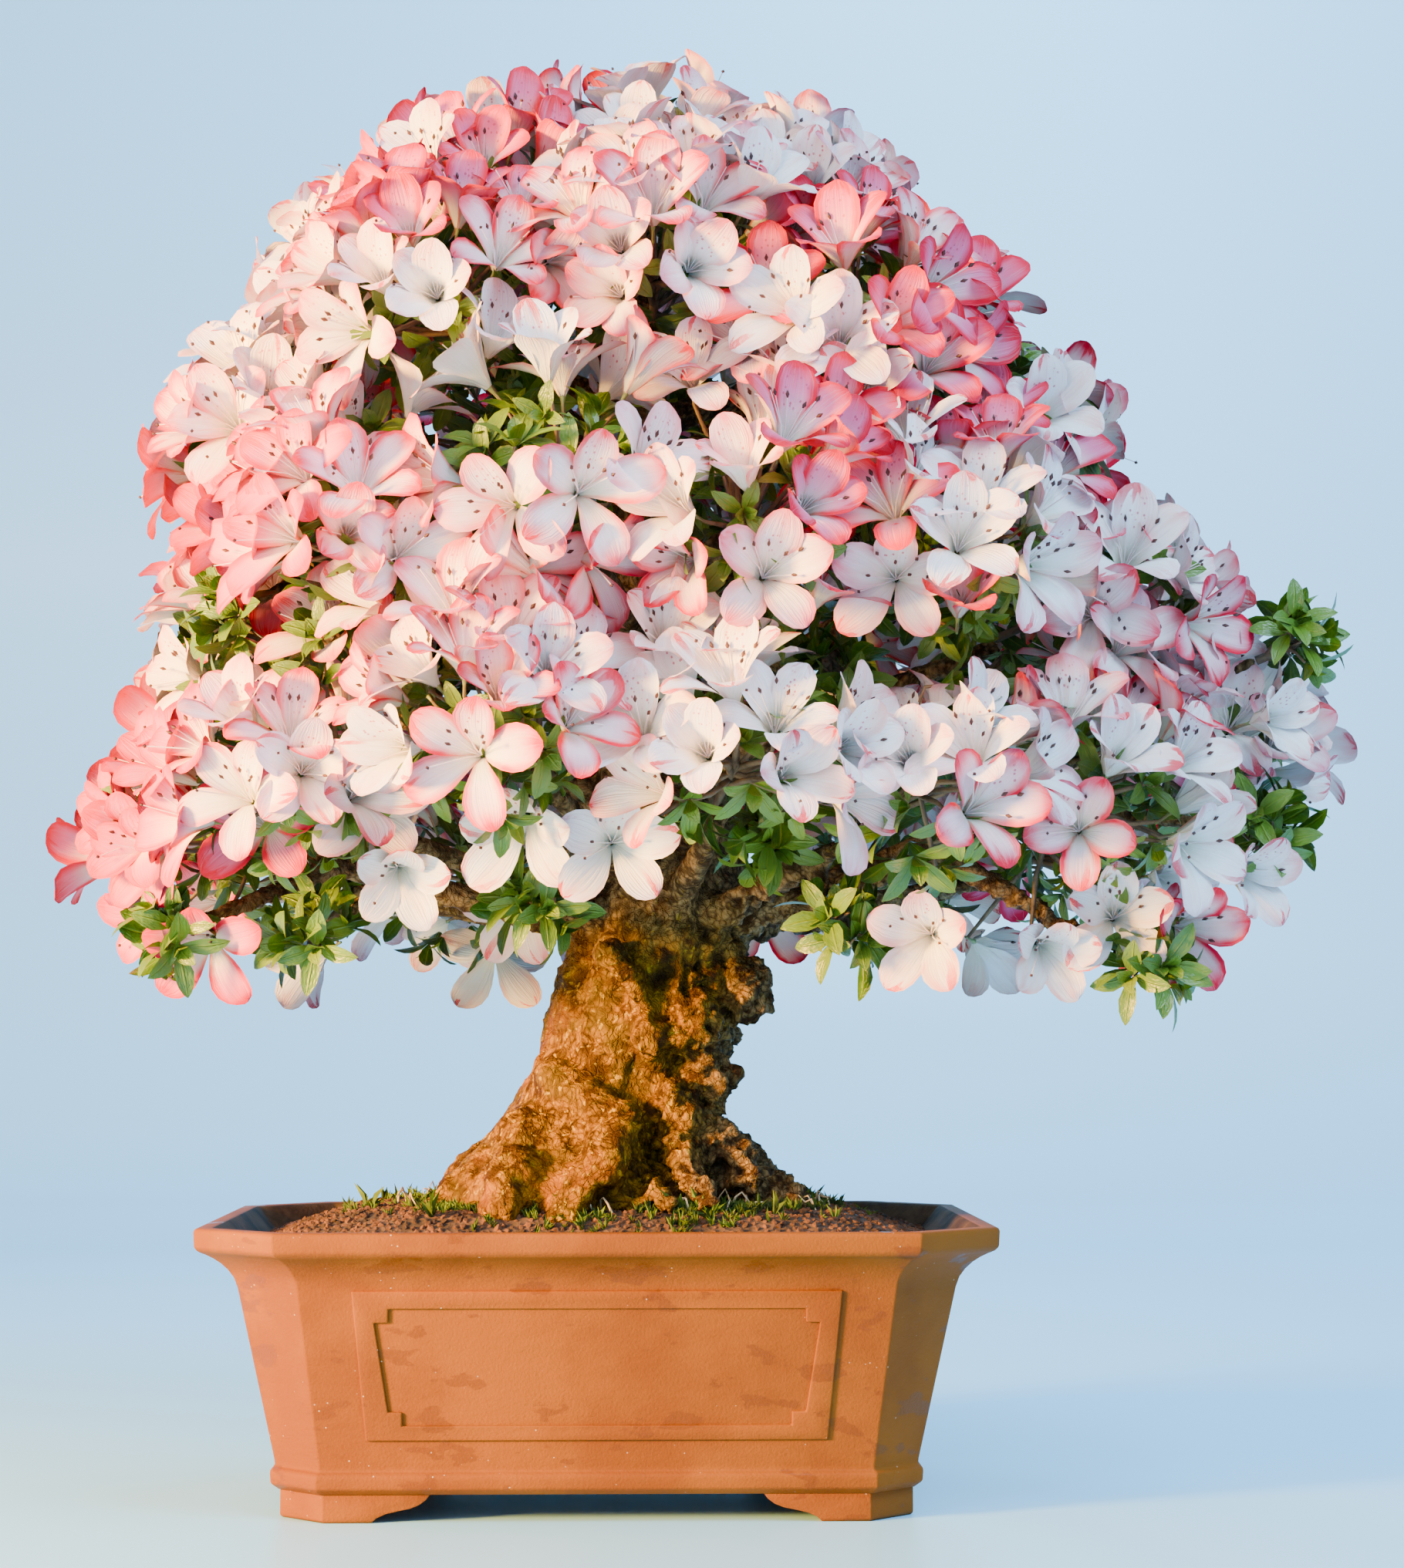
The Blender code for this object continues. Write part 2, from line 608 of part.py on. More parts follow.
class Star:
    """Five petals or leaves raised from a small facet of a cushion."""

    def __init__(self, cushion, seat, axis, spin):
        self.seat = seat
        shape = cushion.star
        facing = axis.to_track_quat("Z", "Y").to_matrix().to_4x4()
        place = Matrix.Translation(seat) @ facing
        lobe_angle = 2 * math.pi / shape["lobes"]
        self.rim = [
            around(place, radius, height, spin + (lobe + share) * lobe_angle)
            for lobe in range(shape["lobes"])
            for share, radius, height in shape["rim"]
        ]
        self.throat = around(place, 0.0, shape["throat"], 0.0)
        self.mouth = around(place, 0.0, shape["rim"][0][2], 0.0)
        flat = Matrix.Translation(seat) @ cushion.normal(seat).to_track_quat("Z", "Y").to_matrix().to_4x4()
        corners = [around(flat, shape["neck"], 0.0, 2 * math.pi * k / 3) for k in range(3)]
        self.neck = [cushion.on_surface((corner - cushion.middle).normalized()) for corner in corners]
        self.turn = self.nearest_rim()
        self.tree = BVHTree.FromPolygons([*self.neck, *self.rim, self.throat], self.faces())

    def nearest_rim(self):
        """The rim corner that the first corner of the neck looks towards."""
        return min(range(len(self.rim)), key=lambda k: (self.rim[k] - self.neck[0]).length)

    def faces(self):
        """Triangles over the corners in order: the neck's three, then the rim's, then the throat."""
        count = len(self.rim)
        made = []
        previous = 0
        for step in range(count):
            here, there = (self.turn + step) % count, (self.turn + step + 1) % count
            corner = int((step + 0.5) / count * 3 + 0.5) % 3
            if corner != previous:
                made.append((previous, corner, 3 + here))
            made.append((corner, 3 + there, 3 + here))
            made.append((3 + count, 3 + here, 3 + there))
            previous = corner
        return made

    def crosses(self, trees):
        return any(self.tree.overlap(tree) for tree in trees)


def spread_directions(count, rng):
    """Directions spread evenly over a sphere, turned at random as a whole."""
    golden = math.pi * (3 - math.sqrt(5))
    whole = Matrix.Rotation(rng.uniform(0, 2 * math.pi), 3, "Z") @ Matrix.Rotation(rng.uniform(0, math.pi), 3, "X")
    directions = []
    for i in range(count):
        height = 1 - (2 * i + 1) / count
        round_it = math.sqrt(1 - height * height)
        directions.append(whole @ Vector((round_it * math.cos(golden * i), round_it * math.sin(golden * i), height)))
    return directions


def faces_open_air(cushion, direction):
    """Blossom opens upwards and outwards, and leaves stand out below as well."""
    outward = Vector((cushion.middle.x - TRUNK[4][0] * MM, cushion.middle.y, 0.25 * abs(cushion.middle.x)))
    lift = 1.2 if cushion.colour != LEAF else -0.3
    way = (outward.normalized() + Vector((0.0, 0.0, lift * 0.5))).normalized()
    lowest = -0.38 if cushion.colour != LEAF else -0.85
    return direction.dot(way) > -0.16 and direction.z > lowest and direction.dot(cushion.stem) > -0.72


def dress(cushion, cushions, wood, rng):
    """Sets stars over the open side of a cushion, leaving out each one that would cross a neighbour."""
    mouth_height = cushion.star["rim"][0][2]
    lobe_angle = 2 * math.pi / cushion.star["lobes"]
    count = round(4 * math.pi * (cushion.radius + mouth_height) ** 2 / (0.87 * cushion.star["spacing"] ** 2))
    candidates = spread_directions(count, rng) + spread_directions(4 * count, rng)
    others = [c for c in cushions if c is not cushion and (c.middle - cushion.middle).length < 0.25]
    for direction in candidates:
        if not faces_open_air(cushion, direction):
            continue
        seat = cushion.on_surface(direction)
        if any((seat - star.seat).length < 2.6 * cushion.star["neck"] * MM for star in cushion.stars):
            continue
        lean = Matrix.Rotation(math.radians(rng.uniform(0, cushion.star["lean"])), 3, direction.orthogonal())
        lean = Matrix.Rotation(rng.uniform(0, 2 * math.pi), 3, direction) @ lean
        axis = (lean @ cushion.normal(seat)).normalized()
        mouth = seat + axis * (mouth_height * MM)
        if any(other.holds(mouth, 3.0) or other.holds(seat, 4.0) for other in others):
            continue
        near = [s.tree for c in cushions for s in c.stars if (s.mouth - mouth).length < 0.06]
        solid = [wood] + [c.tree for c in others]
        first_turn = rng.uniform(0, lobe_angle)
        for attempt in range(4):
            star = Star(cushion, seat, axis, first_turn + attempt * lobe_angle / 4)
            if not star.crosses(near + solid):
                cushion.stars.append(star)
                break


def hull_points(cushion):
    """Corners of the bare core: a coarse ball, left out where stars or the stem pad stand."""
    bm = bmesh.new()
    bmesh.ops.create_icosphere(bm, subdivisions=1, radius=1.0)
    directions = [vert.co.normalized() for vert in bm.verts]
    bm.free()
    taken = [star.seat for star in cushion.stars] + [sum(cushion.stem_pad(), Vector()) / 3]
    places = [cushion.on_surface(direction) for direction in directions]
    room = 0.55 * cushion.radius * MM
    return [place for place in places if all((place - other).length > room for other in taken)]


def core_tree(cushion):
    """The full core as a search tree, for testing that nothing crosses it."""
    bm = bmesh.new()
    bmesh.ops.create_icosphere(bm, subdivisions=3, radius=1.0)
    for vert in bm.verts:
        vert.co = cushion.on_surface(vert.co.normalized())
    tree = BVHTree.FromBMesh(bm)
    bm.free()
    return tree


def make_cushion(cushion, collection):
    """One closed body: the hull of the core's corners, with each star standing on its own facet."""
    bm = bmesh.new()
    necks = [[bm.verts.new(corner) for corner in star.neck] for star in cushion.stars]
    for corner in cushion.stem_pad() + hull_points(cushion):
        bm.verts.new(corner)
    made = bmesh.ops.convex_hull(bm, input=bm.verts)
    buried = [v for v in made["geom_interior"] + made["geom_unused"] if isinstance(v, bmesh.types.BMVert)]
    for star, neck in zip(cushion.stars, necks):
        facet = bm.faces.get(neck)
        if facet is None:
            continue
        bm.faces.remove(facet)
        verts = neck + [bm.verts.new(corner) for corner in [*star.rim, star.throat]]
        for triangle in star.faces():
            bm.faces.new([verts[i] for i in triangle])
    bmesh.ops.delete(bm, geom=[v for v in set(buried) if v.is_valid and not v.link_faces], context="VERTS")
    obj = add_object(cushion.name, mesh_from(cushion.name, bm), collection)
    obj.data.materials.append(material(cushion.colour, *PETAL_COLOURS[cushion.colour]))
    return obj


def make_tree(collection):
    """The wood with every branch, then the cushions that its branches carry."""
    rng = random.Random(SEED)
    bunches = [Cushion(row) for row in BUNCHES]
    sprays = [Cushion(row) for row in SPRAYS]
    for spray in sprays:
        spray.grow_from(spray.nearest_fork(bunches))
    cushions = bunches + sprays
    trunk = make_bole(collection)
    trunk.name = "trunk"
    plug = cylinder(
        "plug", collection, PLUG_RADIUS, SOIL_TOP - PLUG_DEPTH, SOIL_TOP + 12.0, *PLUG_CENTRE, PLUG_SIDES
    )
    limbs = [tube("limb", collection, cushion.branch(), False) for cushion in cushions]
    largest_shell(boolean(trunk, [plug] + limbs, "UNION"))
    trunk.data.materials.append(material("wood", *WOOD))
    bm = bmesh.new()
    bm.from_mesh(trunk.data)
    wood = BVHTree.FromBMesh(bm)
    bm.free()
    for cushion in cushions:
        cushion.tree = core_tree(cushion)
    for cushion in cushions:
        dress(cushion, cushions, wood, rng)
    for cushion in cushions:
        make_cushion(cushion, collection)


def stand_over_origin(collection):
    """Parents everything to one empty, and moves it so that the outline is centred over the origin."""
    stand = bpy.data.objects.new("stand", None)
    collection.objects.link(stand)
    bpy.context.view_layer.update()
    solids = [obj for obj in collection.objects if obj.type == "MESH"]
    corners = [obj.matrix_world @ vert.co for obj in solids for vert in obj.data.vertices]
    middle = [(min(c[i] for c in corners) + max(c[i] for c in corners)) / 2 for i in (0, 1)]
    for obj in solids:
        obj.parent = stand
    stand.location = (-middle[0], -middle[1], 0.0)


def main():
    clear_scene()
    collection = bpy.data.collections.new("azalea_bonsai")
    bpy.context.scene.collection.children.link(collection)
    make_pot(collection)
    make_screen("drain_screen_left", collection, -DRAIN_X)
    make_screen("drain_screen_right", collection, DRAIN_X)
    make_soil(collection)
    make_tree(collection)
    stand_over_origin(collection)


main()
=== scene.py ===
"""Looks for the satsuki azalea bonsai: blossom, leaves, twigs, bark, soil, moss and the clay pot.

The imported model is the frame. Seats of blooms and leaf whorls are found on its solids, so that one grows
wherever a solid has its star, and more are set between them. Tables are in mm unless a comment says
otherwise, and MM makes metres of them.
"""

import json
import math
import random
from itertools import product

import bmesh
import bpy
from mathutils import Euler, Matrix, Vector, noise
from mathutils.kdtree import KDTree

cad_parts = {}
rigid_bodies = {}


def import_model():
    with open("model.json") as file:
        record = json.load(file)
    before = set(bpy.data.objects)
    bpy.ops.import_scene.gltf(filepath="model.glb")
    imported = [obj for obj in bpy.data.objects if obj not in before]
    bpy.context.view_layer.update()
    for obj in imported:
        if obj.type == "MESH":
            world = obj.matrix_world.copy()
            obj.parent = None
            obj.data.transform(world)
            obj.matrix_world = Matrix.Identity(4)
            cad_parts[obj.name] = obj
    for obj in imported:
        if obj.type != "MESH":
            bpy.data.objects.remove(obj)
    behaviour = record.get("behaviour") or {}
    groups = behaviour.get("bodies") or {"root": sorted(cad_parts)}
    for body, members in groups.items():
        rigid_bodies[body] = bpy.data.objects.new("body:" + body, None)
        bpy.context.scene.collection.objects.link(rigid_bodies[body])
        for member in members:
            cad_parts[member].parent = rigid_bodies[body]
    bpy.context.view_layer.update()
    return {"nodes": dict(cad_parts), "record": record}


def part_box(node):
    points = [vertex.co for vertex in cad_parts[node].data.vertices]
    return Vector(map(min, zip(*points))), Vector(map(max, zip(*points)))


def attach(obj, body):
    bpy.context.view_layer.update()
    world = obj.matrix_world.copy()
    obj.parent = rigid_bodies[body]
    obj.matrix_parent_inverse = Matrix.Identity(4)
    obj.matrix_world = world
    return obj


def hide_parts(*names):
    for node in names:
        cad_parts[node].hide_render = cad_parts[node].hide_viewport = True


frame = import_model()

MM = 0.001
WELD = 0.02 * MM
SEED = 7

SLOT_OF = {entry["node"]: entry["material_slot"] for entry in frame["record"]["subparts"]}
BUNCHES = sorted(node for node, slot in SLOT_OF.items() if slot.startswith("petal"))
SPRAYS = sorted(node for node, slot in SLOT_OF.items() if slot == "leaf")

POT_LOW, POT_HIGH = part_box("pot")
POT_CENTRE = (POT_LOW + POT_HIGH) / 2
POT_FOOT = Vector((POT_CENTRE.x, POT_CENTRE.y, 0.0))
POT_HEIGHT = POT_HIGH.z
SOIL_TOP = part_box("soil")[1].z
UP = Vector((0.0, 0.0, 1.0))

# Camera: worked out from the pot's rim and feet in the photograph, as metres from the pot's middle and rim,
# degrees up and to the right, and mm of lens and sensor
CAMERA_BACK, CAMERA_SIDE, CAMERA_OVER_RIM = 1.714, 0.007, 0.096
CAMERA_PITCH, CAMERA_YAW = 4.44, 1.59
CAMERA_LENS, SENSOR = 73.8, 36.0

# Bloom: a petal's middle line as (radius, height, half width) from its foot to its tip
PETAL_PROFILE = [
    (1.2, 2.0, 1.4), (4.2, 8.0, 3.2), (8.0, 13.5, 6.0), (12.6, 18.0, 8.8), (17.8, 21.8, 10.6),
    (23.0, 24.6, 10.6), (28.0, 26.4, 8.6), (31.4, 26.8, 5.4), (33.4, 26.5, 1.4),
]
# Where a petal bends up on the profile, and by how many degrees: the upper one most, the two lower ones least
HINGE = (4.2, 8.0)
PETAL_LIFTS = (15.0, 4.0, -9.0, -9.0, 4.0)
# How far the whole bloom stands up besides, in each of its forms, from half open to flat
FORM_LIFTS = (24.0, 17.0, 11.0, 6.0, 1.0, -4.0)
# Stamens of a bloom, and points across a petal
STAMENS, PETAL_COLUMNS = 5, 5
# The CAD star of a bloom and of a leaf whorl, by which a seat is told from the rest: its spokes and its tips,
# how far these reach and how high the throat is in mm, and by what share the bloom looks up
BLOOM_STAR = {"spokes": 10, "lobes": 5, "reach": 31.5, "throat": 9.0, "look_up": 0.3}
WHORL_STAR = {"spokes": 16, "lobes": 4, "reach": 27.8, "throat": 8.0, "look_up": 0.0}

# Leaf: (distance along, half width, rise)
LEAF_PROFILE = [
    (1.5, 0.8, 0.0), (8.0, 4.4, 1.8), (15.0, 6.2, 3.0), (21.5, 5.0, 3.2), (26.0, 2.6, 2.6), (28.5, 0.2, 2.0),
]
LEAF_LENGTH = 29.0
WHORL_FORMS = 4
CRUMB_FORMS = 4

# Part numbers on the faces of a form, by which it gets its materials
BLADE, THREAD, HEAD, STEM = 0.0, 1.0, 2.0, 3.0


# Scene helpers


def new_object(name, mesh):
    obj = bpy.data.objects.new(name, mesh)
    bpy.context.scene.collection.objects.link(obj)
    return obj


def finished_mesh(name, bm, smooth=True):
    mesh = bpy.data.meshes.new(name)
    for face in bm.faces:
        face.smooth = smooth
    bm.to_mesh(mesh)
    bm.free()
    return mesh


def mesh_object(name, bm):
    return new_object(name, finished_mesh(name, bm))


def opened(mesh):
    bm = bmesh.new()
    bm.from_mesh(mesh)
    return bm


def merged_node(node):
    """A bmesh copy of a CAD node with its loose triangles joined."""
    bm = opened(frame["nodes"][node].data)
    bmesh.ops.remove_doubles(bm, verts=bm.verts, dist=WELD)
    return bm


def middle_of(node):
    low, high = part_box(node)
    return (low + high) / 2


def from_pot(place):
    """A point given in mm from the pot's middle at table level, in the frame."""
    return POT_FOOT + Vector(place) * MM


def to_pot(place):
    """A point of the frame in mm from the pot's middle at table level."""
    return (place - POT_FOOT) / MM


def headed(angle):
    """The level way at an angle, and the way to its left."""
    way = Vector((math.cos(angle), math.sin(angle), 0.0))
    return way, Vector((-way.y, way.x, 0.0))


def jitter(rng, reach):
    return Vector([rng.uniform(-reach, reach) for _ in range(3)])


def give_material(obj, *materials):
    obj.data.materials.clear()
    for material in materials:
        obj.data.materials.append(material)


def evaluated_mesh(obj):
    bpy.context.view_layer.update()
    graph = bpy.context.evaluated_depsgraph_get()
    return bpy.data.meshes.new_from_object(obj.evaluated_get(graph))


def applied(obj):
    """Puts the evaluated mesh in place of the object's own and takes its modifiers off."""
    mesh = evaluated_mesh(obj)
    obj.modifiers.clear()
    obj.data = mesh
    return obj


def add_modifier(obj, kind, **settings):
    modifier = obj.modifiers.new(kind.title(), kind)
    for key, value in settings.items():
        setattr(modifier, key, value)
    return modifier


def resurfaced(obj, voxel, passes):
    """One closed skin over all that an object holds, with its steps smoothed away."""
    add_modifier(obj, "REMESH", mode="VOXEL", voxel_size=voxel * MM)
    applied(obj)
    add_modifier(obj, "SMOOTH", factor=0.6, iterations=passes)
    bm = opened(applied(obj).data)
    bm.normal_update()
    return bm


def joined(name, objects):
    """One object from several, with their materials and attributes kept."""
    for obj in bpy.context.view_layer.objects:
        obj.select_set(False)
    for obj in objects:
        obj.select_set(True)
    bpy.context.view_layer.objects.active = objects[0]
    bpy.ops.object.join()
    result = objects[0]
    result.name = name
    return result


def as_piece(obj, slot, *nodes):
    """Hands a finished mesh to the frame: it rides on the one body and stands for the nodes named."""
    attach(obj, "root")
    if nodes:
        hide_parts(*nodes)
    return obj


def blend_step(low, high, value):
    """0 on low's side and 1 on high's side, smooth between."""
    share = min(1.0, max(0.0, (value - low) / (high - low)))
    return share * share * (3.0 - 2.0 * share)


# Shader helpers


def add(tree, kind, feeds=None, **settings):
    """Adds a node. Feeds are values or sockets by input name or number."""
    node = tree.nodes.new(kind)
    for key, value in settings.items():
        setattr(node, key, value)
    for key, value in (feeds or {}).items():
        if isinstance(value, bpy.types.NodeSocket):
            tree.links.new(value, node.inputs[key])
        else:
            node.inputs[key].default_value = value
    return node


def mix(tree, factor, first, second):
    return add(tree, "ShaderNodeMix", {0: factor, 6: first, 7: second}, data_type="RGBA").outputs[2]


def painted(tree, shade, *coats):
    """Lays coats of (mask, hue) over a shade, one after another."""
    for mask, hue in coats:
        shade = mix(tree, mask, shade, hue)
    return shade


def maths(tree, operation, *values):
    return add(tree, "ShaderNodeMath", dict(enumerate(values)), operation=operation).outputs[0]


def times(tree, first, *others):
    for other in others:
        first = maths(tree, "MULTIPLY", first, other)
    return first


def times_plus(tree, first, second, third):
    """First times second, plus third."""
    return maths(tree, "MULTIPLY_ADD", first, second, third)


def ramp_mask(tree, value, low, high, full=1.0):
    """0 on low's side, full on high's side, smooth between."""
    feeds = {"Value": value, "From Min": low, "From Max": high, "To Max": full}
    return add(tree, "ShaderNodeMapRange", feeds, interpolation_type="SMOOTHSTEP").outputs[0]


def grain(tree, vector, scale, detail=4.0, roughness=0.55):
    feeds = {"Vector": vector, "Scale": scale, "Detail": detail, "Roughness": roughness}
    return add(tree, "ShaderNodeTexNoise", feeds).outputs["Fac"]


def cells(tree, vector, scale, feature="F1"):
    """How far a point is from the middle of its cell, or from its edge."""
    feeds = {"Vector": vector, "Scale": scale}
    return add(tree, "ShaderNodeTexVoronoi", feeds, feature=feature).outputs["Distance"]


def attribute(tree, name):
    return add(tree, "ShaderNodeAttribute", attribute_name=name).outputs["Fac"]


def stretched(tree, vector, scale):
    return add(tree, "ShaderNodeMapping", {"Vector": vector, "Scale": scale}).outputs[0]


def colour(red, green, blue):
    return (red, green, blue, 1.0)


def group_tree(name, inputs, outputs, kind="ShaderNodeTree"):
    """An empty node group with its named sockets, given as (name, socket type, default)."""
    tree = bpy.data.node_groups.new(name, kind)
    for label, socket, default in inputs:
        made = tree.interface.new_socket(name=label, in_out="INPUT", socket_type=socket)
        if default is not None:
            made.default_value = default
    for label, socket in outputs:
        tree.interface.new_socket(name=label, in_out="OUTPUT", socket_type=socket)
    return tree, tree.nodes.new("NodeGroupInput").outputs, tree.nodes.new("NodeGroupOutput").inputs


def mottle_group():
    """Patchy colour with a fine grain, shared by all the object's materials but bark and petals."""
    tree, given, out = group_tree(
        "Mottle",
        [
            ("Vector", "NodeSocketVector", None), ("Patch Scale", "NodeSocketFloat", 20.0),
            ("Grain Scale", "NodeSocketFloat", 300.0), ("Light", "NodeSocketColor", colour(0.8, 0.8, 0.8)),
            ("Dark", "NodeSocketColor", colour(0.2, 0.2, 0.2)), ("Grain Share", "NodeSocketFloat", 0.3),
        ],
        [("Color", "NodeSocketColor"), ("Grain", "NodeSocketFloat")],
    )
    patch = grain(tree, given["Vector"], given["Patch Scale"], 5.0, 0.6)
    patch = ramp_mask(tree, patch, 0.34, 0.66)
    fine = grain(tree, given["Vector"], given["Grain Scale"], 3.0, 0.7)
    share = times_plus(tree, maths(tree, "SUBTRACT", fine, 0.5), given["Grain Share"], patch)
    tree.links.new(mix(tree, share, given["Dark"], given["Light"]), out["Color"])
    tree.links.new(fine, out["Grain"])
    return tree


MOTTLE = mottle_group()


def mottle(tree, vector, patch_scale, grain_scale, light, dark, grain_share):
    """The outputs of the mottle group, set for one material."""
    node = tree.nodes.new("ShaderNodeGroup")
    node.node_tree = MOTTLE
    feeds = {
        "Patch Scale": patch_scale, "Grain Scale": grain_scale, "Light": light, "Dark": dark,
        "Grain Share": grain_share,
    }
    for key, value in feeds.items():
        node.inputs[key].default_value = value
    tree.links.new(vector, node.inputs["Vector"])
    return node.outputs


def finish_material(name, roughness, gloss=0.5):
    """A new material: its tree, its Principled shader and the object coordinates."""
    material = bpy.data.materials.new(name)
    material.use_nodes = True
    tree = material.node_tree
    shader = tree.nodes["Principled BSDF"]
    shader.inputs["Roughness"].default_value = roughness
    shader.inputs["Specular IOR Level"].default_value = gloss
    place = add(tree, "ShaderNodeTexCoord").outputs["Object"]
    return material, tree, shader, place


def set_bump(tree, shader, height, depth, strength=1.0):
    """Low relief from a height, as deep as given in mm."""
    bump = add(tree, "ShaderNodeBump", {"Height": height, "Distance": depth * MM, "Strength": strength})
    tree.links.new(bump.outputs["Normal"], shader.inputs["Normal"])


# Materials


def mottled_material(name, roughness, patch, fine, light, dark, fine_share, relief=0.0, gloss=0.5):
    """A finish of two mottled hues with a fine grain, which is low relief too where a depth is given."""
    material, tree, shader, place = finish_material(name, roughness, gloss)
    tint = mottle(tree, place, patch, fine, light, dark, fine_share)
    tree.links.new(tint["Color"], shader.inputs["Base Color"])
    if relief:
        set_bump(tree, shader, tint["Grain"], relief)
    return material


def clay_material():
    """Unglazed terracotta: smooth, slightly mottled, with pale mineral specks and a few damp patches."""
    material, tree, shader, place = finish_material("fired_clay", 0.6, gloss=0.16)
    tint = mottle(tree, place, 14.0, 900.0, colour(0.238, 0.068, 0.003), colour(0.176, 0.045, 0.002), 0.35)
    damp = grain(tree, stretched(tree, place, (1.0, 1.0, 2.2)), 34.0, 4.0, 0.5)
    damp = ramp_mask(tree, damp, 0.60, 0.63, 0.55)
    rare = ramp_mask(tree, grain(tree, place, 60.0, 2.0), 0.55, 0.62, 0.45)
    speck = times(tree, ramp_mask(tree, cells(tree, place, 230.0), 0.11, 0.06), rare)
    shade = painted(
        tree, tint["Color"], (damp, colour(0.13, 0.034, 0.003)), (speck, colour(0.85, 0.72, 0.60)),
    )
    tree.links.new(shade, shader.inputs["Base Color"])
    tree.links.new(times_plus(tree, damp, -0.55, 0.62), shader.inputs["Roughness"])
    pores = grain(tree, place, 700.0, 5.0, 0.65)
    waves = grain(tree, stretched(tree, place, (1.0, 1.0, 3.0)), 26.0, 2.0)
    set_bump(tree, shader, times_plus(tree, waves, 2.2, pores), 0.35)
    return material


def bark_material():
    """Old azalea wood: ochre flakes with painted shade in the cracks between, rusty in places, grey to the
    right and above.

    The wood's own attributes say where it is gnarled, where pits get painted shade and ridges a painted
    highlight, and how grey it is.
    """
    material, tree, shader, place = finish_material("bark", 0.6, gloss=0.08)
    drift = add(tree, "ShaderNodeTexNoise", {"Vector": place, "Scale": 55.0, "Detail": 2.0}).outputs["Color"]
    feeds = {0: drift, 1: (0.012, 0.012, 0.012), 2: place}
    warped = add(tree, "ShaderNodeVectorMath", feeds, operation="MULTIPLY_ADD").outputs[0]
    flakes = stretched(tree, warped, (1.0, 1.0, 0.8))
    dome = ramp_mask(tree, cells(tree, flakes, 300.0), 0.75, 0.05)
    seam = ramp_mask(tree, cells(tree, flakes, 300.0, "DISTANCE_TO_EDGE"), 0.10, 0.01)
    broad = grain(tree, warped, 120.0, 5.0, 0.66)
    fine = grain(tree, place, 480.0, 4.0, 0.7)
    rough = times_plus(tree, dome, 0.10, times_plus(tree, fine, 0.16, broad))
    # Painted shade and light over the bark's own mottle: darker where the bump's relief is low, lighter where
    # it is raised
    tone = ramp_mask(tree, rough, 0.50, 0.80)
    olive = ramp_mask(tree, grain(tree, place, 34.0, 5.0, 0.6), 0.48, 0.62, 0.55)
    rust = ramp_mask(tree, grain(tree, place, 22.0), 0.54, 0.68, 0.5)
    # Small pale flecks: painted glints
    pale = ramp_mask(tree, grain(tree, flakes, 300.0, 2.0, 0.5), 0.62, 0.68, 0.5)
    greyed = mix(tree, tone, colour(0.060, 0.036, 0.020), colour(0.38, 0.26, 0.14))
    gnarl = attribute(tree, "gnarl")
    shade = painted(
        tree, mix(tree, tone, colour(0.055, 0.021, 0.001), colour(0.34, 0.150, 0.0005)),
        (olive, colour(0.13, 0.080, 0.001)),
        (rust, colour(0.36, 0.105, 0.002)),
        (pale, colour(0.70, 0.42, 0.01)),
        # Painted highlight on the ridges
        (times(tree, attribute(tree, "ridge"), 0.20), colour(0.44, 0.22, 0.002)),
        # Greyer to the right and towards the top
        (times(tree, attribute(tree, "weathered"), 0.72), greyed),
        # Painted shade in the cracks between the flakes, and in the low parts of the broad relief where the
        # wood is gnarled
        (times(tree, seam, times_plus(tree, gnarl, 0.35, 0.22)), colour(0.06, 0.020, 0.004)),
        (times(tree, ramp_mask(tree, broad, 0.46, 0.38, 0.9), gnarl), colour(0.04, 0.015, 0.005)),
        # Painted shade in the pits and hollows
        (times(tree, attribute(tree, "pit"), 0.94), colour(0.022, 0.009, 0.004)),
    )
    tree.links.new(shade, shader.inputs["Base Color"])
    set_bump(tree, shader, times_plus(tree, seam, -0.07, rough), 4.0)
    return material


def soil_material(name, light, dark):
    """Baked clay soil with a crumbly relief."""
    material, tree, shader, place = finish_material(name, 0.9)
    tint = mottle(tree, place, 90.0, 480.0, light, dark, 0.7)
    tree.links.new(tint["Color"], shader.inputs["Base Color"])
    set_bump(tree, shader, cells(tree, place, 260.0), 1.5)
    return material


def petal_ways(tree):
    """What the map of a petal or leaf gives: how far across, how far along, and how far from the middle."""
    chart = add(tree, "ShaderNodeUVMap", uv_map="petal").outputs[0]
    parts = add(tree, "ShaderNodeSeparateXYZ", {0: chart}).outputs
    aside = maths(tree, "ABSOLUTE", times_plus(tree, parts["X"], 2.0, -1.0))
    return parts["X"], parts["Y"], aside


def petal_chart(tree, across, along, across_scale, along_scale):
    """Pattern coordinates that differ from petal to petal."""
    own = times_plus(tree, attribute(tree, "tone"), 91.0, times(tree, attribute(tree, "petal_own"), 37.0))
    feeds = {0: times(tree, across, across_scale), 1: times(tree, along, along_scale), 2: own}
    return add(tree, "ShaderNodeCombineXYZ", feeds).outputs[0]


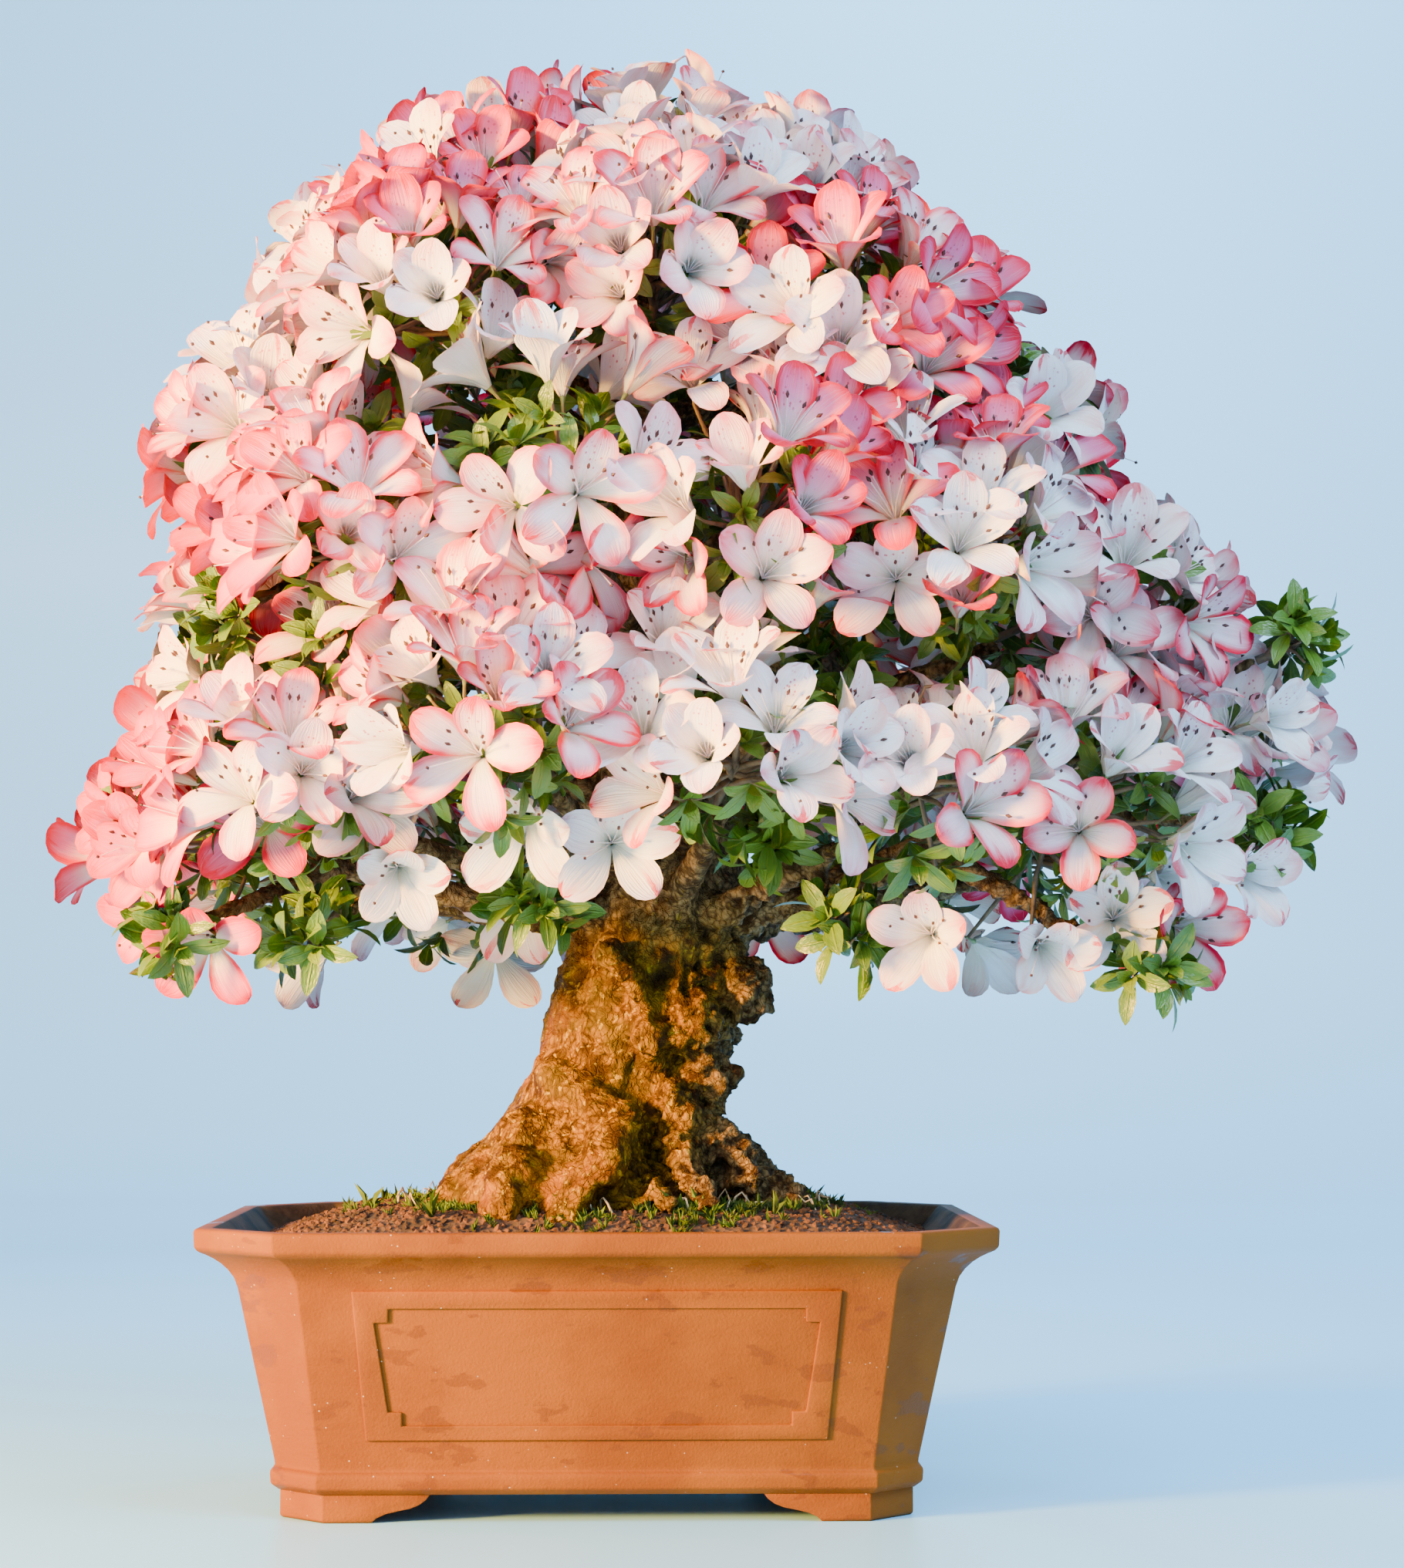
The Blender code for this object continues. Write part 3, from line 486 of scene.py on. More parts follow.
def petal_material():
    """Satin petals, from white with a rose stripe here and there to deep rose at the margin."""
    material, tree, shader, _place = finish_material("petal", 0.5, gloss=0.12)
    across, along, aside = petal_ways(tree)
    rosy, tone, own = attribute(tree, "rosy"), attribute(tree, "tone"), attribute(tree, "petal_own")
    soft = grain(tree, petal_chart(tree, across, along, 2.2, 1.6), 1.0, 2.0)
    white = mix(tree, ramp_mask(tree, soft, 0.3, 0.75), colour(0.94, 0.93, 0.97), colour(0.96, 0.84, 0.80))

    outer = ramp_mask(tree, times_plus(tree, soft, 0.5, along), 0.55, 1.35)
    body = times(tree, ramp_mask(tree, rosy, 0.3, 0.78, 0.82), ramp_mask(tree, along, 0.10, 0.60))
    faint = times(tree, times_plus(tree, rosy, 1.2, 0.16), outer)
    flush = maths(tree, "MINIMUM", maths(tree, "MAXIMUM", faint, body), 0.96)

    margin = maths(tree, "MAXIMUM", ramp_mask(tree, aside, 0.40, 0.96), ramp_mask(tree, along, 0.50, 0.92))
    edge = times(tree, ramp_mask(tree, rosy, 0.16, 0.62), margin)
    edge = times_plus(tree, margin, ramp_mask(tree, soft, 0.45, 0.68, 0.34), edge)

    dice = {"Vector": add(tree, "ShaderNodeCombineXYZ", {0: own, 1: tone}).outputs[0]}
    chance = add(tree, "ShaderNodeTexWhiteNoise", dice, noise_dimensions="3D").outputs["Value"]
    bands = grain(tree, petal_chart(tree, across, along, 3.4, 0.25), 1.0, 1.0)
    bands = maths(tree, "ADD", bands, times_plus(tree, along, 0.42, -0.88))
    stripe = times(
        tree, ramp_mask(tree, bands, 0.0, 0.03, 0.88), ramp_mask(tree, chance, 0.50, 0.54),
        ramp_mask(tree, along, 0.35, 0.8),
    )
    veins = grain(tree, petal_chart(tree, across, along, 22.0, 1.2), 1.0, 2.0)
    dots = cells(tree, petal_chart(tree, across, along, 8.0, 15.0), 1.0)
    dots = times(
        tree, ramp_mask(tree, dots, 0.28, 0.16, 0.75), ramp_mask(tree, along, 0.30, 0.42),
        ramp_mask(tree, along, 0.80, 0.62), ramp_mask(tree, aside, 0.75, 0.5), attribute(tree, "upper_petal"),
    )
    shade = painted(
        tree, white,
        (flush, colour(0.90, 0.022, 0.210)),
        (maths(tree, "MINIMUM", edge, 1.0), colour(0.84, 0.001, 0.042)),
        (stripe, colour(0.78, 0.001, 0.024)),
        (ramp_mask(tree, veins, 0.52, 0.74, 0.22), colour(0.66, 0.50, 0.56)),
        (ramp_mask(tree, along, 0.42, 0.12, 0.45), colour(0.78, 0.78, 0.52)),
        (dots, colour(0.58, 0.06, 0.13)),
    )
    tree.links.new(shade, shader.inputs["Base Color"])
    tree.links.new(times_plus(tree, tone, 0.14, 0.42), shader.inputs["Roughness"])
    set_bump(tree, shader, veins, 0.8, 0.8)
    return material


def leaf_material():
    """Glossy leaves: deep green with a pale rib, reddish at the edge, duller and lighter underneath."""
    material, tree, shader, place = finish_material("leaf", 0.35)
    _across, along, aside = petal_ways(tree)
    tint = mottle(tree, place, 45.0, 500.0, colour(0.095, 0.20, 0.004), colour(0.022, 0.078, 0.002), 0.4)
    rib = ramp_mask(tree, aside, 0.16, 0.04)
    under = add(tree, "ShaderNodeNewGeometry").outputs["Backfacing"]
    shade = painted(
        tree, tint["Color"],
        (ramp_mask(tree, attribute(tree, "petal_own"), 0.72, 1.0, 0.45), colour(0.30, 0.36, 0.010)),
        (times(tree, rib, 0.45), colour(0.24, 0.34, 0.02)),
        (ramp_mask(tree, maths(tree, "MAXIMUM", aside, along), 0.90, 1.0, 0.3), colour(0.30, 0.16, 0.06)),
        (times(tree, under, 0.5), colour(0.15, 0.25, 0.03)),
    )
    tree.links.new(shade, shader.inputs["Base Color"])
    side_veins = grain(tree, petal_chart(tree, aside, along, 4.0, 9.0), 1.0, 1.0)
    set_bump(tree, shader, times_plus(tree, rib, -0.8, side_veins), 0.5)
    return material


CLAY = clay_material()
LIP = mottled_material(
    "clay_inside", 0.7, 30.0, 500.0, colour(0.115, 0.066, 0.034), colour(0.034, 0.018, 0.009), 0.5, 0.4,
    gloss=0.06,
)
BARK = bark_material()
TWIG = mottled_material(
    "twig", 0.8, 60.0, 500.0, colour(0.30, 0.20, 0.12), colour(0.13, 0.08, 0.05), 0.6, 0.5,
)
SOIL = soil_material("soil", colour(0.115, 0.055, 0.032), colour(0.035, 0.018, 0.011))
CRUMB = soil_material("crumb", colour(0.17, 0.058, 0.020), colour(0.026, 0.011, 0.006))
MOSS = mottled_material(
    "moss", 0.85, 70.0, 600.0, colour(0.12, 0.20, 0.006), colour(0.020, 0.045, 0.002), 0.8,
)
ROOTLET = mottled_material(
    "rootlet", 0.6, 60.0, 400.0, colour(0.72, 0.56, 0.36), colour(0.45, 0.30, 0.17), 0.4,
)
PETAL = petal_material()
LEAF = leaf_material()
FILAMENT = mottled_material(
    "filament", 0.45, 110.0, 900.0, colour(0.93, 0.84, 0.82), colour(0.90, 0.70, 0.72), 0.5,
)
ANTHER = mottled_material(
    "anther", 0.5, 110.0, 900.0, colour(0.11, 0.03, 0.02), colour(0.045, 0.012, 0.012), 0.5,
)
STALK = mottled_material(
    "stalk", 0.6, 110.0, 900.0, colour(0.30, 0.36, 0.12), colour(0.20, 0.24, 0.08), 0.5,
)
SCREEN = mottled_material(
    "screen_plastic", 0.5, 80.0, 900.0, colour(0.035, 0.035, 0.035), colour(0.015, 0.015, 0.016), 0.4, 0.1,
)


# Geometry Nodes: three trees, each ending in Realize Instances and Set Material


def tree_input(tree, label):
    return next(
        item.identifier for item in tree.interface.items_tree
        if item.name == label and item.in_out == "INPUT"
    )


def run_tree(obj, tree, **values):
    """Puts a Geometry Nodes tree on an object with its named inputs, and makes the result plain mesh."""
    modifier = obj.modifiers.new(tree.name, "NODES")
    modifier.node_group = tree
    for label, value in values.items():
        modifier[tree_input(tree, label.title())] = value
    return applied(obj)


def pick_instances(tree, points, variants, kind, turn, size):
    """Instances the variants of a collection on points, one kind at each."""
    chosen = add(
        tree, "GeometryNodeCollectionInfo",
        {"Collection": variants, "Separate Children": True, "Reset Children": True},
    )
    placed = add(tree, "GeometryNodeInstanceOnPoints", {
        "Points": points, "Instance": chosen.outputs[0], "Pick Instance": True, "Instance Index": kind,
        "Rotation": turn, "Scale": size,
    })
    return placed.outputs[0]


def named(tree, label, kind):
    return add(tree, "GeometryNodeInputNamedAttribute", {"Name": label}, data_type=kind).outputs["Attribute"]


def with_materials(tree, geometry, main, *parts):
    """Sets a material on the whole, and then others on the parts from a number up."""
    geometry = add(tree, "GeometryNodeSetMaterial", {"Geometry": geometry, "Material": main}).outputs[0]
    for number, material in parts:
        limits = {0: named(tree, "part", "FLOAT"), 1: number - 0.5}
        over = add(tree, "FunctionNodeCompare", limits, data_type="FLOAT", operation="GREATER_THAN")
        feeds = {"Geometry": geometry, "Material": material, "Selection": over.outputs[0]}
        geometry = add(tree, "GeometryNodeSetMaterial", feeds).outputs[0]
    return geometry


def seated_tree():
    """Blooms or whorls on seats that carry their own turn, kind and size."""
    tree, given, out = group_tree(
        "Seated forms",
        [
            ("Geometry", "NodeSocketGeometry", None), ("Forms", "NodeSocketCollection", None),
            ("Size", "NodeSocketFloat", 1.0), ("Main", "NodeSocketMaterial", None),
            ("Thread", "NodeSocketMaterial", None), ("Head", "NodeSocketMaterial", None),
            ("Stalk", "NodeSocketMaterial", None),
        ],
        [("Geometry", "NodeSocketGeometry")], "GeometryNodeTree",
    )
    turn = add(tree, "FunctionNodeEulerToRotation", {0: named(tree, "turn", "FLOAT_VECTOR")}).outputs[0]
    size = times(tree, named(tree, "size", "FLOAT"), given["Size"])
    placed = pick_instances(tree, given["Geometry"], given["Forms"], named(tree, "kind", "INT"), turn, size)
    whole = add(tree, "GeometryNodeRealizeInstances", {"Geometry": placed}).outputs[0]
    parts = [(THREAD, given["Thread"]), (HEAD, given["Head"]), (STEM, given["Stalk"])]
    tree.links.new(with_materials(tree, whole, given["Main"], *parts), out["Geometry"])
    return tree


def chance_between(tree, low, high, seed, kind="FLOAT"):
    """A random value for each point, between two values or sockets."""
    node = add(tree, "FunctionNodeRandomValue", {"Seed": seed}, data_type=kind)
    live = [socket for socket in node.inputs if socket.enabled and socket.name in ("Min", "Max")]
    for socket, value in zip(live, (low, high)):
        if isinstance(value, bpy.types.NodeSocket):
            tree.links.new(value, socket)
        else:
            socket.default_value = value
    return next(socket for socket in node.outputs if socket.enabled)


def scatter_tree():
    """Forms scattered over a surface at an even spacing, each turned and sized at random."""
    tree, given, out = group_tree(
        "Scattered forms",
        [
            ("Geometry", "NodeSocketGeometry", None), ("Forms", "NodeSocketCollection", None),
            ("Count", "NodeSocketInt", 4), ("Spacing", "NodeSocketFloat", 0.01),
            ("Density", "NodeSocketFloat", 5000.0), ("Sink", "NodeSocketFloat", 0.0),
            ("Smallest", "NodeSocketFloat", 0.8), ("Largest", "NodeSocketFloat", 1.2),
            ("Tilt", "NodeSocketFloat", 0.3), ("Seed", "NodeSocketInt", 0),
            ("Main", "NodeSocketMaterial", None),
        ],
        [("Geometry", "NodeSocketGeometry")], "GeometryNodeTree",
    )
    spots = add(tree, "GeometryNodeDistributePointsOnFaces", {
        "Mesh": given["Geometry"], "Distance Min": given["Spacing"], "Density Max": given["Density"],
        "Density Factor": named(tree, "cover", "FLOAT"), "Seed": given["Seed"],
    }, distribute_method="POISSON")
    seeds = [maths(tree, "ADD", given["Seed"], offset) for offset in (1.0, 2.0, 3.0)]
    leaning = chance_between(tree, (-1.0, -1.0, -10.0), (1.0, 1.0, 10.0), seeds[0], "FLOAT_VECTOR")
    tilts = add(tree, "ShaderNodeCombineXYZ", {0: given["Tilt"], 1: given["Tilt"], 2: 1.0}).outputs[0]
    lean = add(tree, "ShaderNodeVectorMath", {0: leaning, 1: tilts}, operation="MULTIPLY").outputs[0]
    spin = add(tree, "FunctionNodeEulerToRotation", {0: lean}).outputs[0]
    feeds = {"Rotation": spots.outputs["Rotation"], "Rotate By": spin}
    turn = add(tree, "FunctionNodeRotateRotation", feeds, rotation_space="LOCAL").outputs[0]
    size = chance_between(tree, given["Smallest"], given["Largest"], seeds[1])
    kind = chance_between(tree, 0, maths(tree, "SUBTRACT", given["Count"], 1.0), seeds[2], "INT")
    feeds = {0: spots.outputs["Normal"], "Scale": times(tree, given["Sink"], -1.0)}
    down = add(tree, "ShaderNodeVectorMath", feeds, operation="SCALE").outputs[0]
    feeds = {"Geometry": spots.outputs["Points"], "Offset": down}
    lowered = add(tree, "GeometryNodeSetPosition", feeds).outputs[0]
    placed = pick_instances(tree, lowered, given["Forms"], kind, turn, size)
    whole = add(tree, "GeometryNodeRealizeInstances", {"Geometry": placed}).outputs[0]
    tree.links.new(with_materials(tree, whole, given["Main"]), out["Geometry"])
    return tree


def twig_tree():
    """A round twig along every edge of a wire mesh, as thick as its points say."""
    tree, given, out = group_tree(
        "Twigs",
        [
            ("Geometry", "NodeSocketGeometry", None), ("Thickness", "NodeSocketFloat", 1.0),
            ("Sides", "NodeSocketInt", 5), ("Main", "NodeSocketMaterial", None),
        ],
        [("Geometry", "NodeSocketGeometry")], "GeometryNodeTree",
    )
    lines = add(tree, "GeometryNodeMeshToCurve", {"Mesh": given["Geometry"]}).outputs[0]
    thick = times(tree, named(tree, "thick", "FLOAT"), given["Thickness"])
    feeds = {"Resolution": given["Sides"], "Radius": 1.0}
    profile = add(tree, "GeometryNodeCurvePrimitiveCircle", feeds, mode="RADIUS").outputs[0]
    lines = add(tree, "GeometryNodeSetCurveRadius", {"Curve": lines, "Radius": thick}).outputs[0]
    feeds = {"Curve": lines, "Profile Curve": profile, "Fill Caps": True}
    skin = add(tree, "GeometryNodeCurveToMesh", feeds)
    if "Scale" in skin.inputs:
        tree.links.new(thick, skin.inputs["Scale"])
    smooth = add(tree, "GeometryNodeSetShadeSmooth", {"Geometry": skin.outputs[0]}).outputs[0]
    whole = add(tree, "GeometryNodeRealizeInstances", {"Geometry": smooth}).outputs[0]
    tree.links.new(with_materials(tree, whole, given["Main"]), out["Geometry"])
    return tree


SEATED = seated_tree()
SCATTERED = scatter_tree()
TWIGS = twig_tree()


# Forms that repeat


def add_form(forms, mesh):
    """Adds a form to a collection that is outside the scene, so it doesn't show by itself."""
    forms.objects.link(bpy.data.objects.new(mesh.name, mesh))


class Sheet:
    """Grids of a form under construction, with their map and the attributes that materials read."""

    def __init__(self):
        self.bm = bmesh.new()
        self.map = self.bm.loops.layers.uv.new("petal")
        self.own = self.bm.verts.layers.float.new("petal_own")
        self.upper = self.bm.verts.layers.float.new("upper_petal")
        self.part = self.bm.faces.layers.float.new("part")

    def grid(self, rows, part, own, upper=0.0):
        """A strip from rows of points: mapped across by column and along by row."""
        verts = []
        for row in rows:
            verts.append([self.bm.verts.new(point * MM) for point in row])
            for vert in verts[-1]:
                vert[self.own] = own
                vert[self.upper] = upper
        for i in range(len(rows) - 1):
            for j in range(len(rows[i]) - 1):
                face = self.bm.faces.new((verts[i][j], verts[i][j + 1], verts[i + 1][j + 1], verts[i + 1][j]))
                face[self.part] = part
                places = ((j, i), (j + 1, i), (j + 1, i + 1), (j, i + 1))
                for loop, (column, line) in zip(face.loops, places):
                    loop[self.map].uv = (column / (len(rows[i]) - 1), line / (len(rows) - 1))

    def thread(self, points, radii, sides, part, own):
        """A thin tube through points, open at both ends."""
        rows = []
        for k, (point, radius) in enumerate(zip(points, radii)):
            ahead = (points[min(k + 1, len(points) - 1)] - points[max(k - 1, 0)]).normalized()
            side = ahead.orthogonal().normalized() * radius
            turn = [Matrix.Rotation(2 * math.pi * s / sides, 3, ahead) for s in range(sides + 1)]
            rows.append([point + step @ side for step in turn])
        self.grid(rows, part, own)

    def mesh(self, name):
        bmesh.ops.remove_doubles(self.bm, verts=self.bm.verts, dist=0.004 * MM)
        return finished_mesh(name, self.bm)


def petal_rows(heading, lift, size, rng):
    """Rows of points across one petal, which rises from the throat, cupped below and curled back above."""
    way, side = headed(heading)
    turn = math.radians(lift)
    spine = []
    for radius, height, _half in PETAL_PROFILE:
        out, up = radius - HINGE[0], height - HINGE[1]
        if up > 0.0:
            out, up = out * math.cos(turn) - up * math.sin(turn), out * math.sin(turn) + up * math.cos(turn)
        spine.append(way * ((HINGE[0] + out) * size) + UP * ((HINGE[1] + up) * size))
    phase, ruffle = rng.uniform(0, 2 * math.pi), rng.uniform(0.05, 0.22)
    roll, recurve = rng.uniform(-0.16, 0.16), rng.uniform(0.1, 0.7)
    rows = []
    last = len(spine) - 1
    for i, (_radius, _height, half) in enumerate(PETAL_PROFILE):
        along = i / last
        ahead = (spine[min(i + 1, last)] - spine[max(i - 1, 0)]).normalized()
        inward = side.cross(ahead) * -1.0
        row = []
        for step in range(PETAL_COLUMNS):
            across = 2 * step / (PETAL_COLUMNS - 1) - 1
            bow = 0.55 * along * (1.0 - along) - recurve * 0.4 * along**4
            wave = ruffle * math.sin(phase + 9.0 * along + 2.6 * across) * abs(across) * along
            crease = -0.05 * (1.0 - across**2) * along
            rise = half * (bow * across**2 + wave + crease + roll * across * along)
            row.append(spine[i] + side * (across * half * size) + inward * rise)
        rows.append(row)
    return rows


def add_stamens(sheet, rng):
    """Stamens curve out of the throat, each with a dark anther, and the pistil reaches past them."""
    lean = rng.uniform(-0.5, 0.5)
    for k in range(STAMENS + 1):
        pistil = k == STAMENS
        angle = lean + (k - 2) * 0.62 + rng.uniform(-0.25, 0.25)
        reach = 17.0 if pistil else rng.uniform(8.0, 15.0)
        height = 32.0 if pistil else rng.uniform(24.0, 29.0)
        way, _side = headed(angle)
        tip = way * reach + UP * height
        points = [UP * 3.0, way * reach * 0.3 + UP * height * 0.5, tip]
        sheet.thread(points, [0.48, 0.4, 0.32], 3, THREAD, rng.random())
        ahead = (way * 0.7 + UP).normalized()
        size = 1.0 if pistil else 1.9
        knob = [tip - ahead * size * 0.9, tip, tip + ahead * size]
        sheet.thread(knob, [0.3, 1.05, 0.2], 4, HEAD, rng.random())


def make_bloom_forms():
    """Open blooms that differ in how far they open, how they ruffle and how wide their petals are."""
    forms = bpy.data.collections.new("bloom_forms")
    rng = random.Random(SEED)
    for index, form_lift in enumerate(FORM_LIFTS):
        sheet = Sheet()
        for k, petal_lift in enumerate(PETAL_LIFTS):
            heading = 2 * math.pi * k / len(PETAL_LIFTS) + rng.uniform(-0.12, 0.12)
            lift = form_lift + petal_lift + rng.uniform(-6.0, 6.0)
            rows = petal_rows(heading, lift, rng.uniform(0.92, 1.06), rng)
            sheet.grid(rows, BLADE, rng.random(), upper=1.0 if k == 0 else 0.0)
        add_stamens(sheet, rng)
        sheet.thread([UP * -9.0, UP * -2.0, UP * 2.5], [0.8, 0.9, 1.6], 4, STEM, rng.random())
        add_form(forms, sheet.mesh(f"bloom_{index}"))
    return forms


def leaf_rows(heading, rise, length, width, droop):
    """Rows of points across one leaf, folded a little along its rib."""
    way, side = headed(heading)
    lean = way * math.cos(rise) + UP * math.sin(rise)
    over = side.cross(lean).normalized() * -1.0
    rows = []
    for along, half, bow in LEAF_PROFILE:
        spine = lean * (along * length) + over * (bow * length - droop * (along / LEAF_LENGTH) ** 2)
        fold = over * (0.22 * half)
        rows.append([spine - side * half * width + fold, spine, spine + side * half * width + fold])
    return rows


def make_whorl_forms():
    """Whorls of leaves as they stand at a twig's tip: four broad leaves and two young ones between."""
    forms = bpy.data.collections.new("whorl_forms")
    rng = random.Random(SEED + 1)
    for index in range(WHORL_FORMS):
        sheet = Sheet()
        for k in range(4):
            heading = math.pi / 2 * k + rng.uniform(-0.22, 0.22)
            size = rng.uniform(0.86, 1.06)
            rise, width, droop = rng.uniform(0.30, 0.62), rng.uniform(0.85, 1.1), rng.uniform(0, 5)
            rows = leaf_rows(heading, rise, size, width, droop)
            sheet.grid(rows, BLADE, rng.uniform(0.0, 0.8))
        for k in range(2):
            heading = math.pi / 4 + math.pi * k + rng.uniform(-0.5, 0.5)
            rows = leaf_rows(heading, rng.uniform(0.9, 1.25), rng.uniform(0.5, 0.7), 0.8, 1.0)
            sheet.grid(rows, BLADE, rng.uniform(0.6, 1.0))
        add_form(forms, sheet.mesh(f"whorl_{index}"))
    return forms


def make_crumb_forms():
    """Grains of baked clay soil."""
    forms = bpy.data.collections.new("crumb_forms")
    rng = random.Random(SEED + 2)
    for index in range(CRUMB_FORMS):
        bm = bmesh.new()
        bmesh.ops.create_icosphere(bm, subdivisions=1, radius=2.1 * MM)
        squat = rng.uniform(0.65, 1.0)
        for vert in bm.verts:
            vert.co *= rng.uniform(0.72, 1.15)
            vert.co.z *= squat
        add_form(forms, finished_mesh(f"crumb_{index}", bm, smooth=False))
    return forms


def blade_forms(name, count, blades, lengths, half_width, leans, seed):
    """Tufts of narrow blades that lean out of one spot."""
    forms = bpy.data.collections.new(name)
    rng = random.Random(seed)
    for index in range(count):
        bm = bmesh.new()
        for _ in range(blades):
            angle, lean = rng.uniform(0, 2 * math.pi), rng.uniform(*leans)
            length = rng.uniform(*lengths)
            way, side = headed(angle)
            side *= half_width
            foot = way * rng.uniform(0.0, 1.6)
            middle = foot + way * (length * lean * 0.35) + UP * (length * 0.6)
            tip = foot + way * (length * lean) + UP * (length * 0.95)
            corners = [foot - side * 0.5, foot + side * 0.5, middle + side, tip, middle - side]
            bm.faces.new([bm.verts.new(corner * MM) for corner in corners])
        add_form(forms, finished_mesh(f"{name}_{index}", bm, smooth=False))
    return forms


BLOOMS = make_bloom_forms()
WHORLS = make_whorl_forms()
CRUMBS = make_crumb_forms()
TUFTS = blade_forms("moss_forms", 3, 8, (2.5, 6.0), 0.5, (0.1, 0.9), SEED + 3)
SPROUTS = blade_forms("sprout_forms", 4, 5, (7.0, 15.0), 1.3, (0.2, 1.0), SEED + 4)
BLOOM_SKINS = {"main": PETAL, "thread": FILAMENT, "head": ANTHER, "stalk": STALK}
WHORL_SKINS = dict.fromkeys(BLOOM_SKINS, LEAF)


# Crown

# How far a bloom's mouth is from its foot, and how far apart added blooms and a spray's added whorls keep
MOUTH, BLOOM_GAP, WHORL_GAP = 22.0, 26.0, 23.0
# Half the width and height that a bloom shows face on, with what its depth adds, and the most it is moved
BLOOM_WIDE, BLOOM_TALL, MOST_IN, MOST_DOWN = (26.0, 4.0), (22.0, 6.0), 34.0, 20.0
# How far bunches swell to meet as one skin, how far their cores lie within their boxes, and its voxels
SKIN_MARGIN, CORE_INSET, SKIN_VOXEL = 40.0, 24.0, 8.0

# Where the crown opens on leaves and shade instead of blossom: (middle, half sizes) of a box, from the pot's
# middle. The CAD's blooms step up or down out of it, and the added ones there are leaves instead. Then how
# far beyond it blooms step aside, by how much at most, and how far beyond it leaves take their place.
LEAFY_GAPS = [
    ((-20, -140, 540), (96, 110, 11)), ((-176, -90, 440), (34, 90, 24)), ((124, -160, 424), (46, 70, 14)),
    ((200, -110, 430), (40, 80, 16)), ((232, -60, 600), (30, 80, 24)), ((268, -60, 520), (26, 80, 14)),
]
GAP_SPARE, GAP_STEP, LEAFY_SPARE = 20.0, 22.0, 8.0

# Blooms that hang alone below the crown's hem: (place, way they face)
LOW_BLOOMS = [
    ((-198, -100, 282), (-0.2, -0.9, -0.35)), ((-98, -130, 318), (0.1, -0.9, -0.3)),
    ((-166, -132, 344), (-0.1, -0.9, 0.1)), ((-112, -140, 352), (0.1, -1.0, 0.2)),
    ((-226, -96, 330), (-0.4, -0.8, -0.1)), ((-248, -60, 352), (-0.7, -0.6, 0.0)),
    ((8, -150, 332), (0.1, -1.0, -0.1)), ((-38, -150, 340), (-0.2, -0.9, -0.4)),
    ((162, -118, 288), (-0.3, -0.9, -0.1)), ((226, -100, 282), (0.2, -0.9, -0.2)),
    ((300, -80, 292), (0.4, -0.8, -0.2)), ((262, -96, 300), (0.0, -0.9, 0.1)),
    ((344, -30, 356), (0.7, -0.6, 0.0)), ((346, -84, 402), (0.5, -0.8, 0.1)),
    ((330, -90, 322), (0.5, -0.8, -0.1)), ((-232, -60, 300), (-0.7, -0.6, -0.3)),
    ((-160, 60, 280), (-0.6, 0.6, -0.3)), ((-60, 140, 282), (0.0, 0.9, -0.3)),
    ((-44, 10, 306), (-0.4, -0.8, -0.3)), ((96, 150, 308), (0.2, 0.9, -0.2)),
    ((220, 110, 288), (0.5, 0.8, -0.2)), ((300, 30, 300), (0.9, 0.2, -0.2)),
]

# The crown's outline from the front: (height, left edge, right edge) from the pot's middle, and how far in
# front and how high it was measured from
CROWN_OUTLINE = [
    (259, -214, 326), (292, -268, 345), (325, -282, 350), (358, -275, 385), (392, -262, 395),
    (425, -243, 400), (458, -243, 382), (491, -249, 345), (524, -252, 305), (557, -250, 290),
    (590, -229, 272), (624, -222, 255), (657, -198, 225), (690, -165, 199), (723, -118, 152),
    (740, -92, 120), (756, -63, 83), (766, -10, 30),
]
VIEW_FROM, VIEW_LEVEL = 1680.0, 227.0

# Where blooms cluster in rose or blush on the front: (x, z, radius) from the pot's middle. Behind the given
# depth the bunch's own colour and a noise decide instead.
ROSE_PLACES = [
    (-58, 692, 40), (-112, 667, 32), (116, 634, 38), (160, 594, 44), (187, 547, 30), (250, 540, 26),
    (-224, 508, 30), (-155, 500, 38), (-14, 524, 36), (108, 508, 36), (-222, 352, 56), (183, 433, 26),
    (128, 422, 24), (-195, 274, 24), (-75, 302, 22), (-20, 372, 20),
]
BLUSH_PLACES = [(-70, 470, 90), (20, 620, 60), (60, 520, 70), (-170, 420, 60), (170, 640, 70), (260, 450, 60)]
FRONT_DEPTH = 30.0


class Seat:
    """Where a bloom or whorl stands: its foot, the way it faces and the turn of its first petal."""

    def __init__(self, foot, facing, first):
        self.foot = foot
        self.facing = facing.normalized()
        across = first - self.facing * first.dot(self.facing)
        across.normalize()
        side = self.facing.cross(across)
        self.turn = Matrix((across, side, self.facing)).transposed().to_euler()

    def mouth(self):
        return self.foot + self.facing * (MOUTH * MM)


class Spacing:
    """Places sorted into cubes as wide as the least distance, to tell soon whether a new one is too near."""

    def __init__(self, reach):
        self.reach = reach
        self.cubes = {}

    def cube(self, place):
        return tuple(math.floor(value / self.reach) for value in place)

    def add(self, place):
        self.cubes.setdefault(self.cube(place), []).append(place)

    def is_free(self, place):
        home = self.cube(place)
        for step in product((-1, 0, 1), repeat=3):
            near = self.cubes.get(tuple(map(sum, zip(home, step))), ())
            if any((other - place).length < self.reach for other in near):
                return False
        return True


